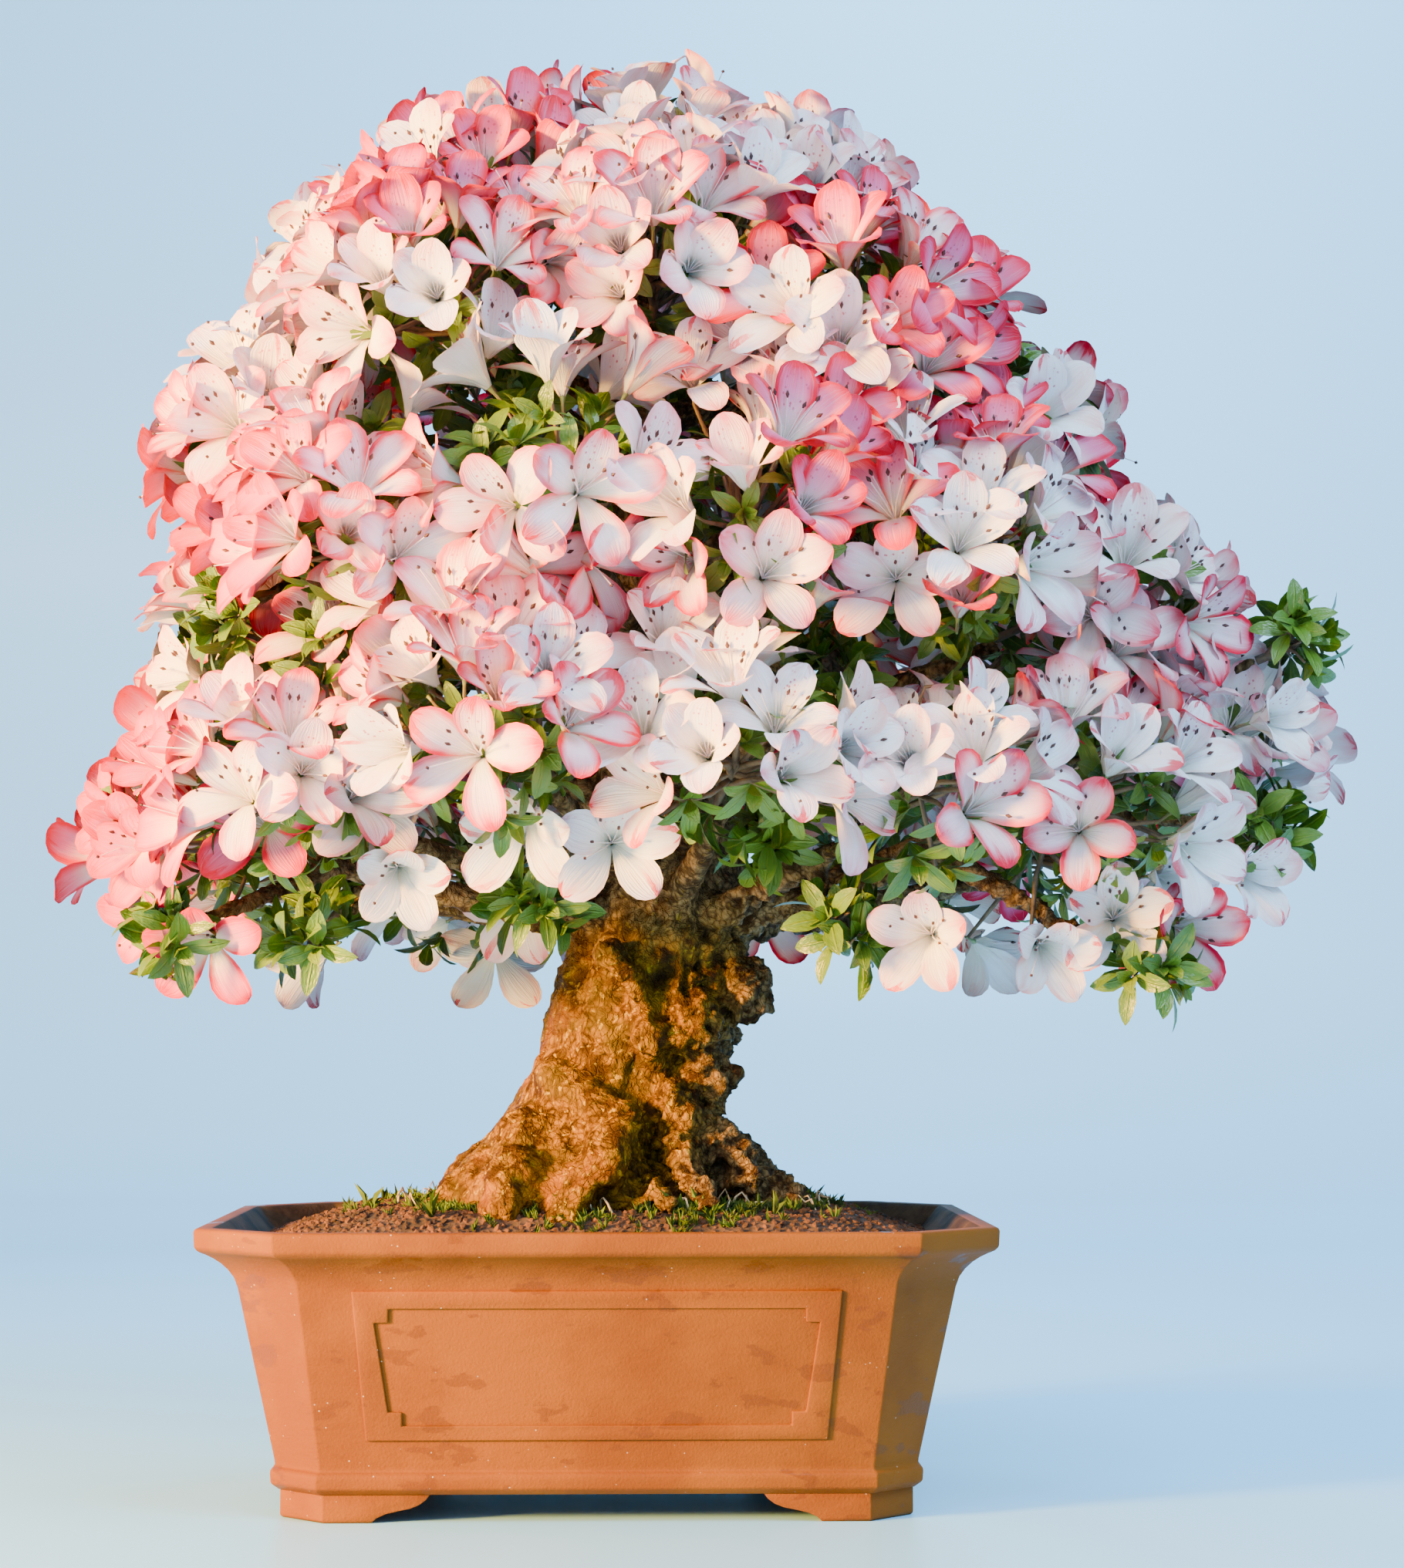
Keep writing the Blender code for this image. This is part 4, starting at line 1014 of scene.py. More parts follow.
def star_seats(bm, star):
    """The seats of the stars on a merged node, and every vertex that belongs to one."""
    seats, used = [], set()
    for vert in bm.verts:
        ring = [edge.other_vert(vert) for edge in vert.link_edges]
        if len(ring) != star["spokes"]:
            continue
        far = sorted(ring, key=lambda other: -(other.co - vert.co).length)
        tips, rest = far[: star["lobes"]], far[star["lobes"]:]
        reaches = [(tip.co - vert.co).length / MM for tip in tips]
        if max(abs(reach - star["reach"]) for reach in reaches) > 1.0:
            continue
        if max((other.co - vert.co).length / MM for other in rest) > 0.8 * star["reach"]:
            continue
        middle = sum((tip.co for tip in tips), Vector()) / len(tips)
        facing = (middle - vert.co).normalized()
        first = max((tip.co - middle for tip in tips), key=lambda way: way.z)
        foot = vert.co - facing * (star["throat"] * MM)
        seats.append(Seat(foot, (facing + UP * star["look_up"]).normalized(), first))
        used.update([vert, *ring])
    return seats, used


def bare_core(bm, used):
    """A bmesh of the core's facets between the stars."""
    core = bmesh.new()
    copies = {}
    for face in bm.faces:
        if any(vert in used for vert in face.verts):
            continue
        for vert in face.verts:
            if vert not in copies:
                copies[vert] = core.verts.new(vert.co)
        core.faces.new([copies[vert] for vert in face.verts])
    bmesh.ops.recalc_face_normals(core, faces=core.faces)
    return core


def seats_and_core(node, star):
    """The seats on a node and the facets between them."""
    bm = merged_node(node)
    seats, used = star_seats(bm, star)
    core = bare_core(bm, used)
    bm.free()
    return seats, core


CROWN_AXIS = middle_of("trunk")


def openness(place, facing):
    """1 where a facet looks out of the crown or up, 0 where it looks at the trunk or down."""
    out = Vector((place.x - CROWN_AXIS.x, place.y - CROWN_AXIS.y, 0.0)).normalized()
    return blend_step(-0.35, 0.25, facing.dot((out + UP * 0.75).normalized()))


def spot_on(face, rng):
    """A random place on a triangle."""
    corners = [vert.co for vert in face.verts]
    a, b = sorted((rng.random(), rng.random()))
    return corners[0] * a + corners[1] * (b - a) + corners[2] * (1 - b)


def leaning_seat(place, normal, rng, lean, lift, sinks):
    """A seat sunk under a place, facing out of the surface and up, with some play."""
    facing = (normal + jitter(rng, lean) + UP * lift).normalized()
    return Seat(place - facing * (rng.uniform(*sinks) * MM), facing, Vector((0.1, 0, 1)))


def extra_seats(core, rng, wanted):
    """More whorls between the CAD's, set a little deeper, on the open side of the core."""
    faces = list(core.faces)
    areas = [face.calc_area() for face in faces]
    made = []
    for _ in range(wanted * 30):
        if len(made) == wanted:
            break
        face = rng.choices(faces, areas)[0]
        place = spot_on(face, rng)
        if openness(place, face.normal) < 0.5 or face.normal.z < -0.5:
            continue
        seat = leaning_seat(place, face.normal, rng, lean=0.35, lift=0.15, sinks=(3.0, 8.0))
        if all((seat.mouth() - other.mouth()).length > WHORL_GAP * MM for other in made):
            made.append(seat)
    return made


def low_seats():
    """Seats for the lone blooms, each hung from its mouth back to its foot."""
    seats = []
    for place, way in LOW_BLOOMS:
        facing = Vector(way).normalized()
        seats.append(Seat(from_pot(place) - facing * (20 * MM), facing, Vector((0.05, 0.0, 1.0))))
    return seats


def outline_at(height):
    """The left and right edge at a height, read between the rows."""
    rows = CROWN_OUTLINE
    height = min(max(height, rows[0][0]), rows[-1][0])
    for low, high in zip(rows, rows[1:]):
        if height <= high[0]:
            share = (height - low[0]) / (high[0] - low[0])
            return [low[i] + share * (high[i] - low[i]) for i in (1, 2)]
    return rows[-1][1:]


def kept_inside(seat):
    """Moves a seat in where its bloom, as wide and tall as it shows, would stand out past the outline."""
    for _ in range(2):
        x, y, z = to_pot(seat.mouth())
        nearer = VIEW_FROM / (VIEW_FROM + y)
        left, right = outline_at(VIEW_LEVEL + (z - VIEW_LEVEL) * nearer)
        wide = BLOOM_WIDE[0] * math.sqrt(max(0.0, 1.0 - seat.facing.x**2)) + BLOOM_WIDE[1]
        past = max(0.0, x * nearer + wide - right) - max(0.0, left - (x * nearer - wide))
        tall = BLOOM_TALL[0] * math.sqrt(max(0.0, 1.0 - seat.facing.z**2)) + BLOOM_TALL[1]
        over = max(0.0, z * nearer + tall - CROWN_OUTLINE[-1][0])
        seat.foot -= Vector((max(-MOST_IN, min(MOST_IN, past)), 0.0, min(MOST_DOWN, over))) * MM
    return seat


def gap_at(place, spare):
    """Half the height of the leafy gap that a place lies in, and how far above its middle the place is."""
    local = to_pot(place)
    for centre, half in LEAFY_GAPS:
        off = [local[i] - centre[i] for i in range(3)]
        if abs(off[0]) < half[0] and abs(off[1]) < half[1] and abs(off[2]) < half[2] + spare:
            return half[2] + spare, off[2]
    return None


def stepped_aside(seat):
    """Moves a seat up or down so that its bloom leaves a gap open."""
    met = gap_at(seat.mouth(), GAP_SPARE)
    if met:
        room, off = met
        seat.foot.z += math.copysign(min(GAP_STEP, 0.8 * (room - abs(off))), off) * MM
    return seat


def crown_skin():
    """The whole crown's surface: the bunches' cores swollen until they meet, then drawn in again."""
    bm = bmesh.new()
    for bunch in BUNCHES:
        low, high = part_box(bunch)
        half = (high - low) / 2 - Vector((1, 1, 1)) * ((CORE_INSET - SKIN_MARGIN) * MM)
        spot = Matrix.Translation((low + high) / 2) @ Matrix.Diagonal((*half, 1.0))
        bmesh.ops.create_icosphere(bm, subdivisions=3, radius=1.0, matrix=spot)
    skin = mesh_object("crown_skin", bm)
    bm = resurfaced(skin, SKIN_VOXEL, 12)
    bpy.data.objects.remove(skin, do_unlink=True)
    for vert in bm.verts:
        vert.co -= vert.normal * (SKIN_MARGIN * MM)
    bmesh.ops.triangulate(bm, faces=bm.faces)
    return bm


def between_seats(taken):
    """Seats all over the crown's skin that keep their distance from the seats taken and from each other."""
    skin = crown_skin()
    rng = random.Random(SEED + 40)
    faces = list(skin.faces)
    areas = [face.calc_area() for face in faces]
    held = Spacing(BLOOM_GAP * MM)
    for seat in taken:
        held.add(seat.mouth())
    made = []
    for face in rng.choices(faces, areas, k=16000):
        place = spot_on(face, rng)
        normal = face.verts[0].normal
        if normal.z < -0.5 or openness(place, normal) < 0.4:
            continue
        seat = kept_inside(leaning_seat(place, normal, rng, lean=0.4, lift=0.47, sinks=(1.0, 8.0)))
        if held.is_free(seat.mouth()):
            made.append(seat)
            held.add(seat.mouth())
    skin.free()
    return made


def rosy_share(bunch, place, rng):
    """How rose-coloured a bloom is: 0 white, 0.5 blushing, 1 rose."""
    x, y, z = to_pot(place)
    share = rng.choice((0.0, 0.05, 0.1, 0.15, 0.25, 0.35, 0.5))
    if y > FRONT_DEPTH:
        if SLOT_OF[bunch] == "petal_rose" or noise.noise(place / 0.09) > 0.28:
            share = rng.uniform(0.75, 1.0)
        return share
    for centre_x, centre_z, reach in BLUSH_PLACES:
        if math.hypot(x - centre_x, z - centre_z) < reach:
            share = max(share, rng.uniform(0.1, 0.55))
    for centre_x, centre_z, reach in ROSE_PLACES:
        if math.hypot(x - centre_x, z - centre_z) < reach * rng.uniform(0.8, 1.2):
            share = rng.uniform(0.7, 1.0)
    return share


def seats_object(name, seats, kinds, rng, bunch):
    """Seats as loose points that carry the turn, kind, size and colouring of what stands there."""
    mesh = bpy.data.meshes.new(name)
    mesh.from_pydata([seat.foot for seat in seats], [], [])
    turns = [angle for seat in seats for angle in seat.turn]
    mesh.attributes.new("turn", "FLOAT_VECTOR", "POINT").data.foreach_set("vector", turns)
    values = {
        "kind": [rng.randrange(kinds) for _ in seats],
        "size": [rng.uniform(0.92, 1.07) for _ in seats],
        "rosy": [rosy_share(bunch, seat.mouth(), rng) if bunch else 0.0 for seat in seats],
        "tone": [rng.random() for _ in seats],
    }
    for label, column in values.items():
        kind = "INT" if label == "kind" else "FLOAT"
        mesh.attributes.new(label, kind, "POINT").data.foreach_set("value", column)
    return new_object(name, mesh)


def seated(name, seats, forms, skins, size, rng, bunch=None):
    """One of the forms on each seat, coloured by the place where a bunch is given."""
    obj = seats_object(name, seats, len(forms.objects), rng, bunch)
    return run_tree(obj, SEATED, forms=forms, size=size, **skins)


def scatter_on(name, surface, forms, material, spacing, sink, sizes, tilt, seed, cover_of=None):
    """Scatters forms over a surface, as thickly as its faces say, and frees the surface."""
    mesh = bpy.data.meshes.new(name)
    covers = [cover_of(face) if cover_of else 1.0 for face in surface.faces]
    surface.to_mesh(mesh)
    surface.free()
    mesh.attributes.new("cover", "FLOAT", "FACE").data.foreach_set("value", covers)
    return run_tree(
        new_object(name, mesh), SCATTERED, forms=forms, count=len(forms.objects), spacing=spacing * MM,
        density=4.0 / (spacing * MM) ** 2, sink=sink * MM, smallest=sizes[0], largest=sizes[1], tilt=tilt,
        seed=seed, main=material,
    )


def wire(name, lines):
    """A wire mesh from lines of (point, thickness)."""
    mesh = bpy.data.meshes.new(name)
    points, edges, thick = [], [], []
    for line in lines:
        start = len(points)
        for place, radius in line:
            points.append(place)
            thick.append(radius)
        edges += [(start + k, start + k + 1) for k in range(len(line) - 1)]
    mesh.from_pydata(points, edges, [])
    mesh.attributes.new("thick", "FLOAT", "POINT").data.foreach_set("value", thick)
    return new_object(name, mesh)


def twig_lines(tips, centre, seats, rng):
    """Twigs that fan out of the nearest branch's end and fork on the way to their seats."""
    start = tips.find(centre)[0]
    lines = []
    for seat in seats:
        heart = start.lerp(centre, rng.uniform(0.2, 0.7))
        foot = seat.foot - seat.facing * (7 * MM)
        bend = heart.lerp(foot, 0.55) + jitter(rng, 4 * MM)
        lines.append([
            (start, 2.4 * MM), (heart, 2.0 * MM), (bend, 1.4 * MM), (foot, 1.0 * MM), (seat.foot, 0.8 * MM),
        ])
    return lines


def make_blossom(bunch, seats, core, more, tips):
    """One bunch: blooms on the CAD's seats and between them, leaves over its core, and its twigs."""
    rng = random.Random(SEED + BUNCHES.index(bunch))
    flowers = seats + [seat for seat in more if not gap_at(seat.mouth(), LEAFY_SPARE)]
    greens = [seat for seat in more if gap_at(seat.mouth(), LEAFY_SPARE)]
    for seat in greens:
        seat.foot -= seat.facing * (12 * MM)
    blooms = seated("blossom_" + bunch, flowers, BLOOMS, BLOOM_SKINS, 1.0, rng, bunch)
    as_piece(blooms, SLOT_OF[bunch], bunch)
    leaves = scatter_on(
        "leaves_" + bunch, core, WHORLS, LEAF, 22, 4, (0.6, 0.95), tilt=0.35, seed=SEED + len(more),
    )
    if greens:
        tufts = seated("tufts_" + bunch, greens, WHORLS, WHORL_SKINS, 0.85, rng)
        leaves = joined("leaves_" + bunch, [leaves, tufts])
    as_piece(leaves, "leaf")
    return twig_lines(tips, middle_of(bunch), seats + more, rng)


def make_spray(spray, tips):
    """A spray of leaves: a whorl on each of the CAD's seats and more over its core."""
    rng = random.Random(SEED + 100 + SPRAYS.index(spray))
    seats, core = seats_and_core(spray, WHORL_STAR)
    seats += extra_seats(core, rng, 8)
    core.free()
    whorls = seated("leaves_" + spray, seats, WHORLS, WHORL_SKINS, 0.86, rng)
    as_piece(whorls, "leaf", spray)
    return twig_lines(tips, middle_of(spray), seats, rng)


def trunk_points():
    """Every corner of the wood, for finding the branch end nearest to a bunch."""
    bm = merged_node("trunk")
    tree = KDTree(len(bm.verts))
    for i, vert in enumerate(bm.verts):
        tree.insert(vert.co, i)
    tree.balance()
    bm.free()
    return tree


def make_crown():
    tips = trunk_points()
    found = {bunch: seats_and_core(bunch, BLOOM_STAR) for bunch in BUNCHES}
    taken = [seat for seats, _core in found.values() for seat in seats]
    for seat in taken:
        kept_inside(stepped_aside(seat))
    middles = {bunch: middle_of(bunch) for bunch in BUNCHES}
    more = {bunch: [] for bunch in BUNCHES}
    for seat in low_seats() + between_seats(taken + low_seats()):
        home = min(BUNCHES, key=lambda bunch: (middles[bunch] - seat.foot).length)
        more[home].append(seat)
    lines = []
    for bunch in BUNCHES:
        seats, core = found[bunch]
        lines += make_blossom(bunch, seats, core, more[bunch], tips)
    for spray in SPRAYS:
        lines += make_spray(spray, tips)
    twigs = run_tree(wire("twigs", lines), TWIGS, thickness=1.0, sides=4, main=TWIG)
    as_piece(twigs, "wood")


# Trunk

# Surface roots and knobs finer than the solid's: (start, end, radius at the start, radius at the end)
FINGERS = [
    ((36, -58, 186), (56, -86, 156), 8.5, 7.0), ((14, -60, 176), (36, -90, 154), 5.0, 3.4),
    ((-24, -36, 216), (10, -62, 192), 12.0, 15.0), ((10, -62, 192), (4, -80, 174), 15.0, 13.0),
    ((4, -80, 174), (-14, -88, 158), 13.0, 10.0), ((-14, -88, 158), (-20, -92, 146), 10.0, 8.0),
    ((-20, -90, 150), (-12, -96, 148), 6.0, 5.0), ((-42, -72, 170), (-48, -86, 154), 15.0, 13.0),
    ((66, -44, 184), (76, -54, 164), 11.0, 10.0), ((70, -30, 180), (112, -44, 148), 8.0, 4.0),
    ((-60, -40, 172), (-92, -56, 148), 8.0, 4.0), ((48, -40, 250), (62, -36, 212), 13.0, 10.0),
    ((26, -46, 232), (50, -46, 236), 9.0, 8.0), ((4, -48, 282), (20, -50, 262), 8.0, 6.0),
    ((40, -52, 206), (44, -56, 196), 12.0, 9.0),
]
# Hollows and creases, which get painted shade too: (start, end, width, depth)
HOLLOWS = [
    ((38, -52, 226), (40, -52, 225), 5.5, 9.0),
    ((15, -50, 236), (20, -56, 212), 5.5, 15.0), ((24, -58, 212), (27, -64, 190), 4.5, 12.0),
    ((27, -64, 190), (16, -84, 160), 4.5, 13.0),
    ((6, -48, 268), (9, -48, 262), 5.0, 7.0),
    ((-44, -76, 171), (-40, -78, 170), 5.0, 8.0),
    ((6, -90, 156), (22, -90, 150), 6.0, 9.0),
    ((60, -42, 228), (70, -34, 200), 5.0, 13.0), ((40, -50, 206), (52, -54, 190), 4.5, 9.0),
    ((30, -44, 268), (48, -46, 280), 5.0, 7.0), ((-8, -50, 262), (6, -50, 256), 4.0, 5.0),
    ((44, -50, 262), (52, -46, 244), 5.0, 5.0),
    ((-62, -58, 172), (-30, -76, 182), 3.0, 3.5),
    ((70, -50, 182), (60, -56, 164), 4.0, 7.0),
]
# Bulges of the solid that are shaved back: (start, end, width, depth)
SHAVES = [
    ((92, 24, 246), (86, 30, 222), 20.0, 17.0), ((90, -10, 206), (84, -20, 180), 18.0, 9.0),
    ((-34, 30, 240), (-36, 20, 236), 16.0, 8.0), ((-36, -40, 214), (-38, -30, 208), 12.0, 4.0),
]
# How fine the bark's mesh is
BARK_VOXEL = 2.4


def add_capsule(bm, start, end, first, last):
    """A run of overlapping balls from start to end."""
    steps = max(2, int((Vector(end) - Vector(start)).length / 4.0))
    for k in range(steps + 1):
        share = k / steps
        centre = from_pot(Vector(start).lerp(Vector(end), share))
        radius = (first + (last - first) * share) * MM
        bmesh.ops.create_icosphere(bm, subdivisions=2, radius=radius, matrix=Matrix.Translation(centre))


def away_from_line(place, start, end):
    way = end - start
    share = min(1.0, max(0.0, (place - start).dot(way) / max(way.length_squared, 1e-12)))
    return (place - start - way * share).length


def cuts_at(place, marks):
    """How near each mark a place is, 1 on its line and 0 far off, with the depth that it cuts."""
    for start, end, width, depth in marks:
        away = away_from_line(place, from_pot(start), from_pot(end)) / (width * MM)
        yield math.exp(-(away**2)), depth


def bark_move(place, stout, gnarled):
    """How far the bark stands out at a place, and the painted shade of pits and highlight of ridges, from 0
    to 1.
    """
    p = place / MM
    lumps = noise.fractal(p / 30.0, 0.9, 2.0, 2) * 2.0
    ridges = (0.28 - abs(noise.noise(p / 15.0))) * 8.5 + (0.26 - abs(noise.noise(p / 6.5))) * 7.5
    ridges += noise.noise(p / 3.4) * 2.2
    dimples = noise.fractal(p / 6.0, 0.8, 2.0, 3) * 0.9
    flutes = noise.noise(Vector((p.x / 7.0, p.y / 7.0, p.z / 36.0))) * 1.5
    holes = blend_step(0.42, 0.08, noise.voronoi(p / 10.0)[0][0]) * 4.0
    holes += blend_step(0.36, 0.10, noise.voronoi(p / 5.0)[0][0]) * 1.6
    detail = dimples + flutes + gnarled * (ridges - holes)
    move = (lumps + detail) * stout
    # Painted shade for the pits, and below for the hollows too; painted highlight for the ridges
    pit = blend_step(-1.0, -4.2, detail)
    ridge = blend_step(0.6, 3.0, detail)
    for near, depth in cuts_at(place, HOLLOWS):
        move -= depth * near
        pit = max(pit, near)
    for near, depth in cuts_at(place, SHAVES):
        move -= depth * near
    return move, pit, ridge


def bark_age(place):
    """How far up the branches a place is, how gnarled and how grey the bark is there, from 0 to 1."""
    local = to_pot(place)
    height = local.z
    aside = local.x - (10.0 + 0.30 * (height - 180.0))
    sway = 10.0 * noise.noise(local / 30.0)
    gnarled = max(
        blend_step(-14.0, 22.0, aside + sway), 0.3 * blend_step(198.0, 172.0, height + sway),
        0.5 * blend_step(240.0, 280.0, height),
    )
    grey = 0.85 * blend_step(14.0, 56.0, aside + sway) + 1.2 * blend_step(270.0, 330.0, height)
    return blend_step(286.0, 330.0, height), gnarled, min(1.0, grey)


def make_trunk():
    """The wood with the solid's form, resurfaced finely and worked into knots, flutes, pits and hollows."""
    bm = merged_node("trunk")
    for start, end, first, last in FINGERS:
        add_capsule(bm, start, end, first, last)
    wood = mesh_object("bark_wood", bm)
    bm = resurfaced(wood, BARK_VOXEL, 7)
    # Attributes for the bark's colour: painted shade in pits and painted highlight on ridges, fading up the
    # branches, and how grey it is
    layers = {name: bm.verts.layers.float.new(name) for name in ("pit", "ridge", "weathered", "gnarl")}
    for vert in bm.verts:
        high, gnarled, grey = bark_age(vert.co)
        move, pit, ridge = bark_move(vert.co, 1.0 - 0.78 * high, gnarled)
        vert[layers["gnarl"]] = gnarled * (1.0 - high)
        vert[layers["pit"]] = pit * (1.0 - 0.6 * high)
        vert[layers["ridge"]] = ridge * (1.0 - high)
        vert[layers["weathered"]] = grey
        vert.co += vert.normal * (move * MM)
    for face in bm.faces:
        face.smooth = True
    bm.to_mesh(wood.data)
    bm.free()
    give_material(wood, BARK)
    return as_piece(wood, "wood", "trunk")


# Soil

# The trunk's foot, right of the pot's middle, and how far below the rim the soil's upper faces still count
ROOTS_X, SOIL_DEPTH = 6.0, 20.0


def soil_surface():
    """The upper faces of the soil, cut finely enough for its cover to follow the place."""
    bm = merged_node("soil")
    floor = POT_HEIGHT - SOIL_DEPTH * MM
    lower = [face for face in bm.faces if face.normal.z < 0.2 or face.calc_center_median().z < floor]
    bmesh.ops.delete(bm, geom=lower, context="FACES")
    bmesh.ops.subdivide_edges(bm, edges=bm.edges, cuts=6, use_grid_fill=True)
    bmesh.ops.triangulate(bm, faces=bm.faces)
    return bm


def near_roots(place):
    """1 close to the roots, 0 out by the rim."""
    local = (place - from_pot((ROOTS_X, 0, 0))) / MM
    return blend_step(150.0, 85.0, math.hypot(local.x, 1.15 * local.y))


def moss_cover(face):
    """How thickly moss grows on a face: in patches near the roots."""
    place = face.calc_center_median()
    patch = blend_step(-0.25, 0.10, noise.fractal(place / 0.034, 0.9, 2.0, 2))
    return near_roots(place) * patch


def rootlet_line(rng):
    """A rootlet that arches out of the soil and back, oftener in front of the trunk than behind it."""
    angle = rng.uniform(math.pi, 2 * math.pi) if rng.random() < 0.7 else rng.uniform(0, math.pi)
    away = rng.uniform(70, 116)
    foot = from_pot((ROOTS_X + away * math.cos(angle), 0.8 * away * math.sin(angle), SOIL_TOP / MM - 1.0))
    heading = rng.uniform(0, 2 * math.pi)
    line = []
    for k in range(5):
        step = headed(heading)[0] * (k * 3.2 * MM)
        arch = UP * (math.sin(math.pi * k / 4) * rng.uniform(4, 12) * MM)
        heading += rng.uniform(-0.4, 0.4)
        line.append((foot + step + arch, (0.75 - 0.1 * k) * MM))
    return line


def make_soil():
    """Crumbs over the soil's solid, moss and sprouts round the roots and pale rootlets."""
    give_material(frame["nodes"]["soil"], SOIL)
    covers = [
        ("soil_crumbs", "earth", CRUMBS, CRUMB, 3.6, 0.2, (0.6, 1.35), 1.0, SEED),
        ("moss", "leaf", TUFTS, MOSS, 2.8, 0.6, (0.7, 1.5), 0.4, SEED + 5, moss_cover),
        ("sprouts", "leaf", SPROUTS, MOSS, 10.0, 0.6, (0.5, 1.1), 0.4, SEED + 6, moss_cover),
    ]
    for name, slot, *how in covers:
        as_piece(scatter_on(name, soil_surface(), *how), slot)
    rng = random.Random(SEED + 9)
    lines = [rootlet_line(rng) for _ in range(80)]
    rootlets = run_tree(wire("rootlets", lines), TWIGS, thickness=1.0, sides=4, main=ROOTLET)
    as_piece(rootlets, "wood")


# Pot

# The body's levels up the outside and down the inside: (height, half length, half depth, corner cut)
POT_OUTSIDE = [
    (13.8, 158.5, 108.5, 22.5), (15.8, 161.0, 111.0, 23.5), (17.0, 162.6, 112.6, 24.6),
    (22.5, 163.0, 113.0, 25.0), (24.2, 162.4, 112.4, 24.6), (25.4, 160.6, 110.6, 24.0),
    (28.0, 160.8, 110.8, 24.2), (114.0, 179.0, 129.0, 32.8), (119.0, 180.8, 130.8, 34.0),
    (123.0, 183.6, 133.6, 35.4), (126.5, 187.2, 137.2, 37.2), (129.0, 190.8, 140.8, 39.0),
    (131.0, 194.6, 144.6, 41.0), (132.6, 198.0, 148.0, 42.4), (134.4, 199.6, 149.6, 43.0),
    (142.6, 200.0, 150.0, 43.0), (144.0, 198.8, 148.8, 42.5),
]
POT_INSIDE = [
    (144.0, 191.5, 141.5, 39.4), (142.4, 189.0, 139.0, 38.4), (134.0, 182.0, 132.0, 35.0),
    (126.0, 173.5, 123.5, 31.0), (116.0, 168.5, 118.5, 29.0), (26.0, 150.0, 100.0, 20.0),
]
# The straight part of the wall, which carries the frames
PANEL = POT_OUTSIDE[6:8]
# The feet's outer size with its corner cut, their wall, height and lower edge, then the bracket shape of the
# openings between them, (outwards, upwards) from an opening's end, and half the openings' widths at the top
FOOT_OUTER, FOOT_WALL, FOOT_HEIGHT, FOOT_EDGE = (158.0, 108.0, 23.0), 14.0, 14.0, 1.2
BRACKET = [
    (29.0, 0.0), (26.5, 2.4), (22.0, 4.4), (16.0, 5.8), (10.0, 7.0), (5.5, 8.8), (2.2, 11.2), (0.0, 14.0),
]
FRONT_OPENING, SIDE_OPENING = 82.0, 42.0
# The raised frames: half width at the top and bottom, height range, relief, how deep they sit in the wall,
# and the widths of their bars with the notch in each inner corner
FRONT_FRAME, SIDE_FRAME = (120.0, 113.5), (80.0, 73.5)
FRAME_LOW, FRAME_HIGH, FRAME_RELIEF, FRAME_ROOT = 41.0, 115.0, 1.6, 1.2
FRAME_SIDE, FRAME_TOP, FRAME_BOTTOM, FRAME_NOTCH = 11.0, 9.0, 7.5, 7.0
# The drainage holes: how far aside, and their radius
DRAIN_X, DRAIN_RADIUS = 72.0, 12.0


def octagon(level):
    """The eight corners of the pot at one level."""
    height, half_length, half_depth, cut = level
    corners = [(half_length, half_depth - cut), (half_length - cut, half_depth)]
    corners += [(-x, y) for x, y in reversed(corners)]
    corners += [(-x, -y) for x, y in corners]
    return [from_pot((x, y, height)) for x, y in corners]


def loft(name, levels, closed=False):
    """A body through levels, with a flat end at either side or else closed into a ring."""
    bm = bmesh.new()
    rings = [[bm.verts.new(corner) for corner in octagon(level)] for level in levels]
    pairs = list(zip(rings, rings[1:]))
    if closed:
        pairs.append((rings[-1], rings[0]))
    else:
        bm.faces.new(rings[0])
        bm.faces.new(rings[-1])
    for lower, upper in pairs:
        for i in range(8):
            j = (i + 1) % 8
            bm.faces.new((lower[i], lower[j], upper[j], upper[i]))
    bmesh.ops.recalc_face_normals(bm, faces=bm.faces)
    return mesh_object(name, bm)


def plate(name, outlines, half_thickness, place):
    """A flat plate with straight edges. The first outline is its rim and any other is a hole."""
    curve = bpy.data.curves.new(name, "CURVE")
    curve.dimensions = "2D"
    curve.fill_mode = "BOTH"
    curve.extrude = half_thickness * MM
    for outline in outlines:
        spline = curve.splines.new("POLY")
        spline.points.add(len(outline) - 1)
        for knot, (u, v) in zip(spline.points, outline):
            knot.co = (u * MM, v * MM, 0.0, 1.0)
        spline.use_cyclic_u = True
    drawn = new_object(name, curve)
    bm = opened(evaluated_mesh(drawn))
    bpy.data.objects.remove(drawn, do_unlink=True)
    bmesh.ops.remove_doubles(bm, verts=bm.verts, dist=WELD)
    bm.transform(place)
    bmesh.ops.recalc_face_normals(bm, faces=bm.faces)
    if bm.calc_volume(signed=True) < 0:
        bmesh.ops.reverse_faces(bm, faces=bm.faces)
    return mesh_object(name, bm)


def cut_away(obj, cutters):
    """Cuts the other shapes out of one and removes them."""
    for cutter in cutters:
        add_modifier(obj, "BOOLEAN", operation="DIFFERENCE", object=cutter, solver="EXACT")
    applied(obj)
    for cutter in cutters:
        bpy.data.objects.remove(cutter, do_unlink=True)
    return obj


def rounded(obj, width, segments, angle):
    """Softens the edges as a moulded and fettled pot has them."""
    add_modifier(
        obj, "BEVEL", width=width * MM, segments=segments, limit_method="ANGLE",
        angle_limit=math.radians(angle),
    )
    return applied(obj)


def turned(degrees, axis):
    return Matrix.Rotation(math.radians(degrees), 4, axis)


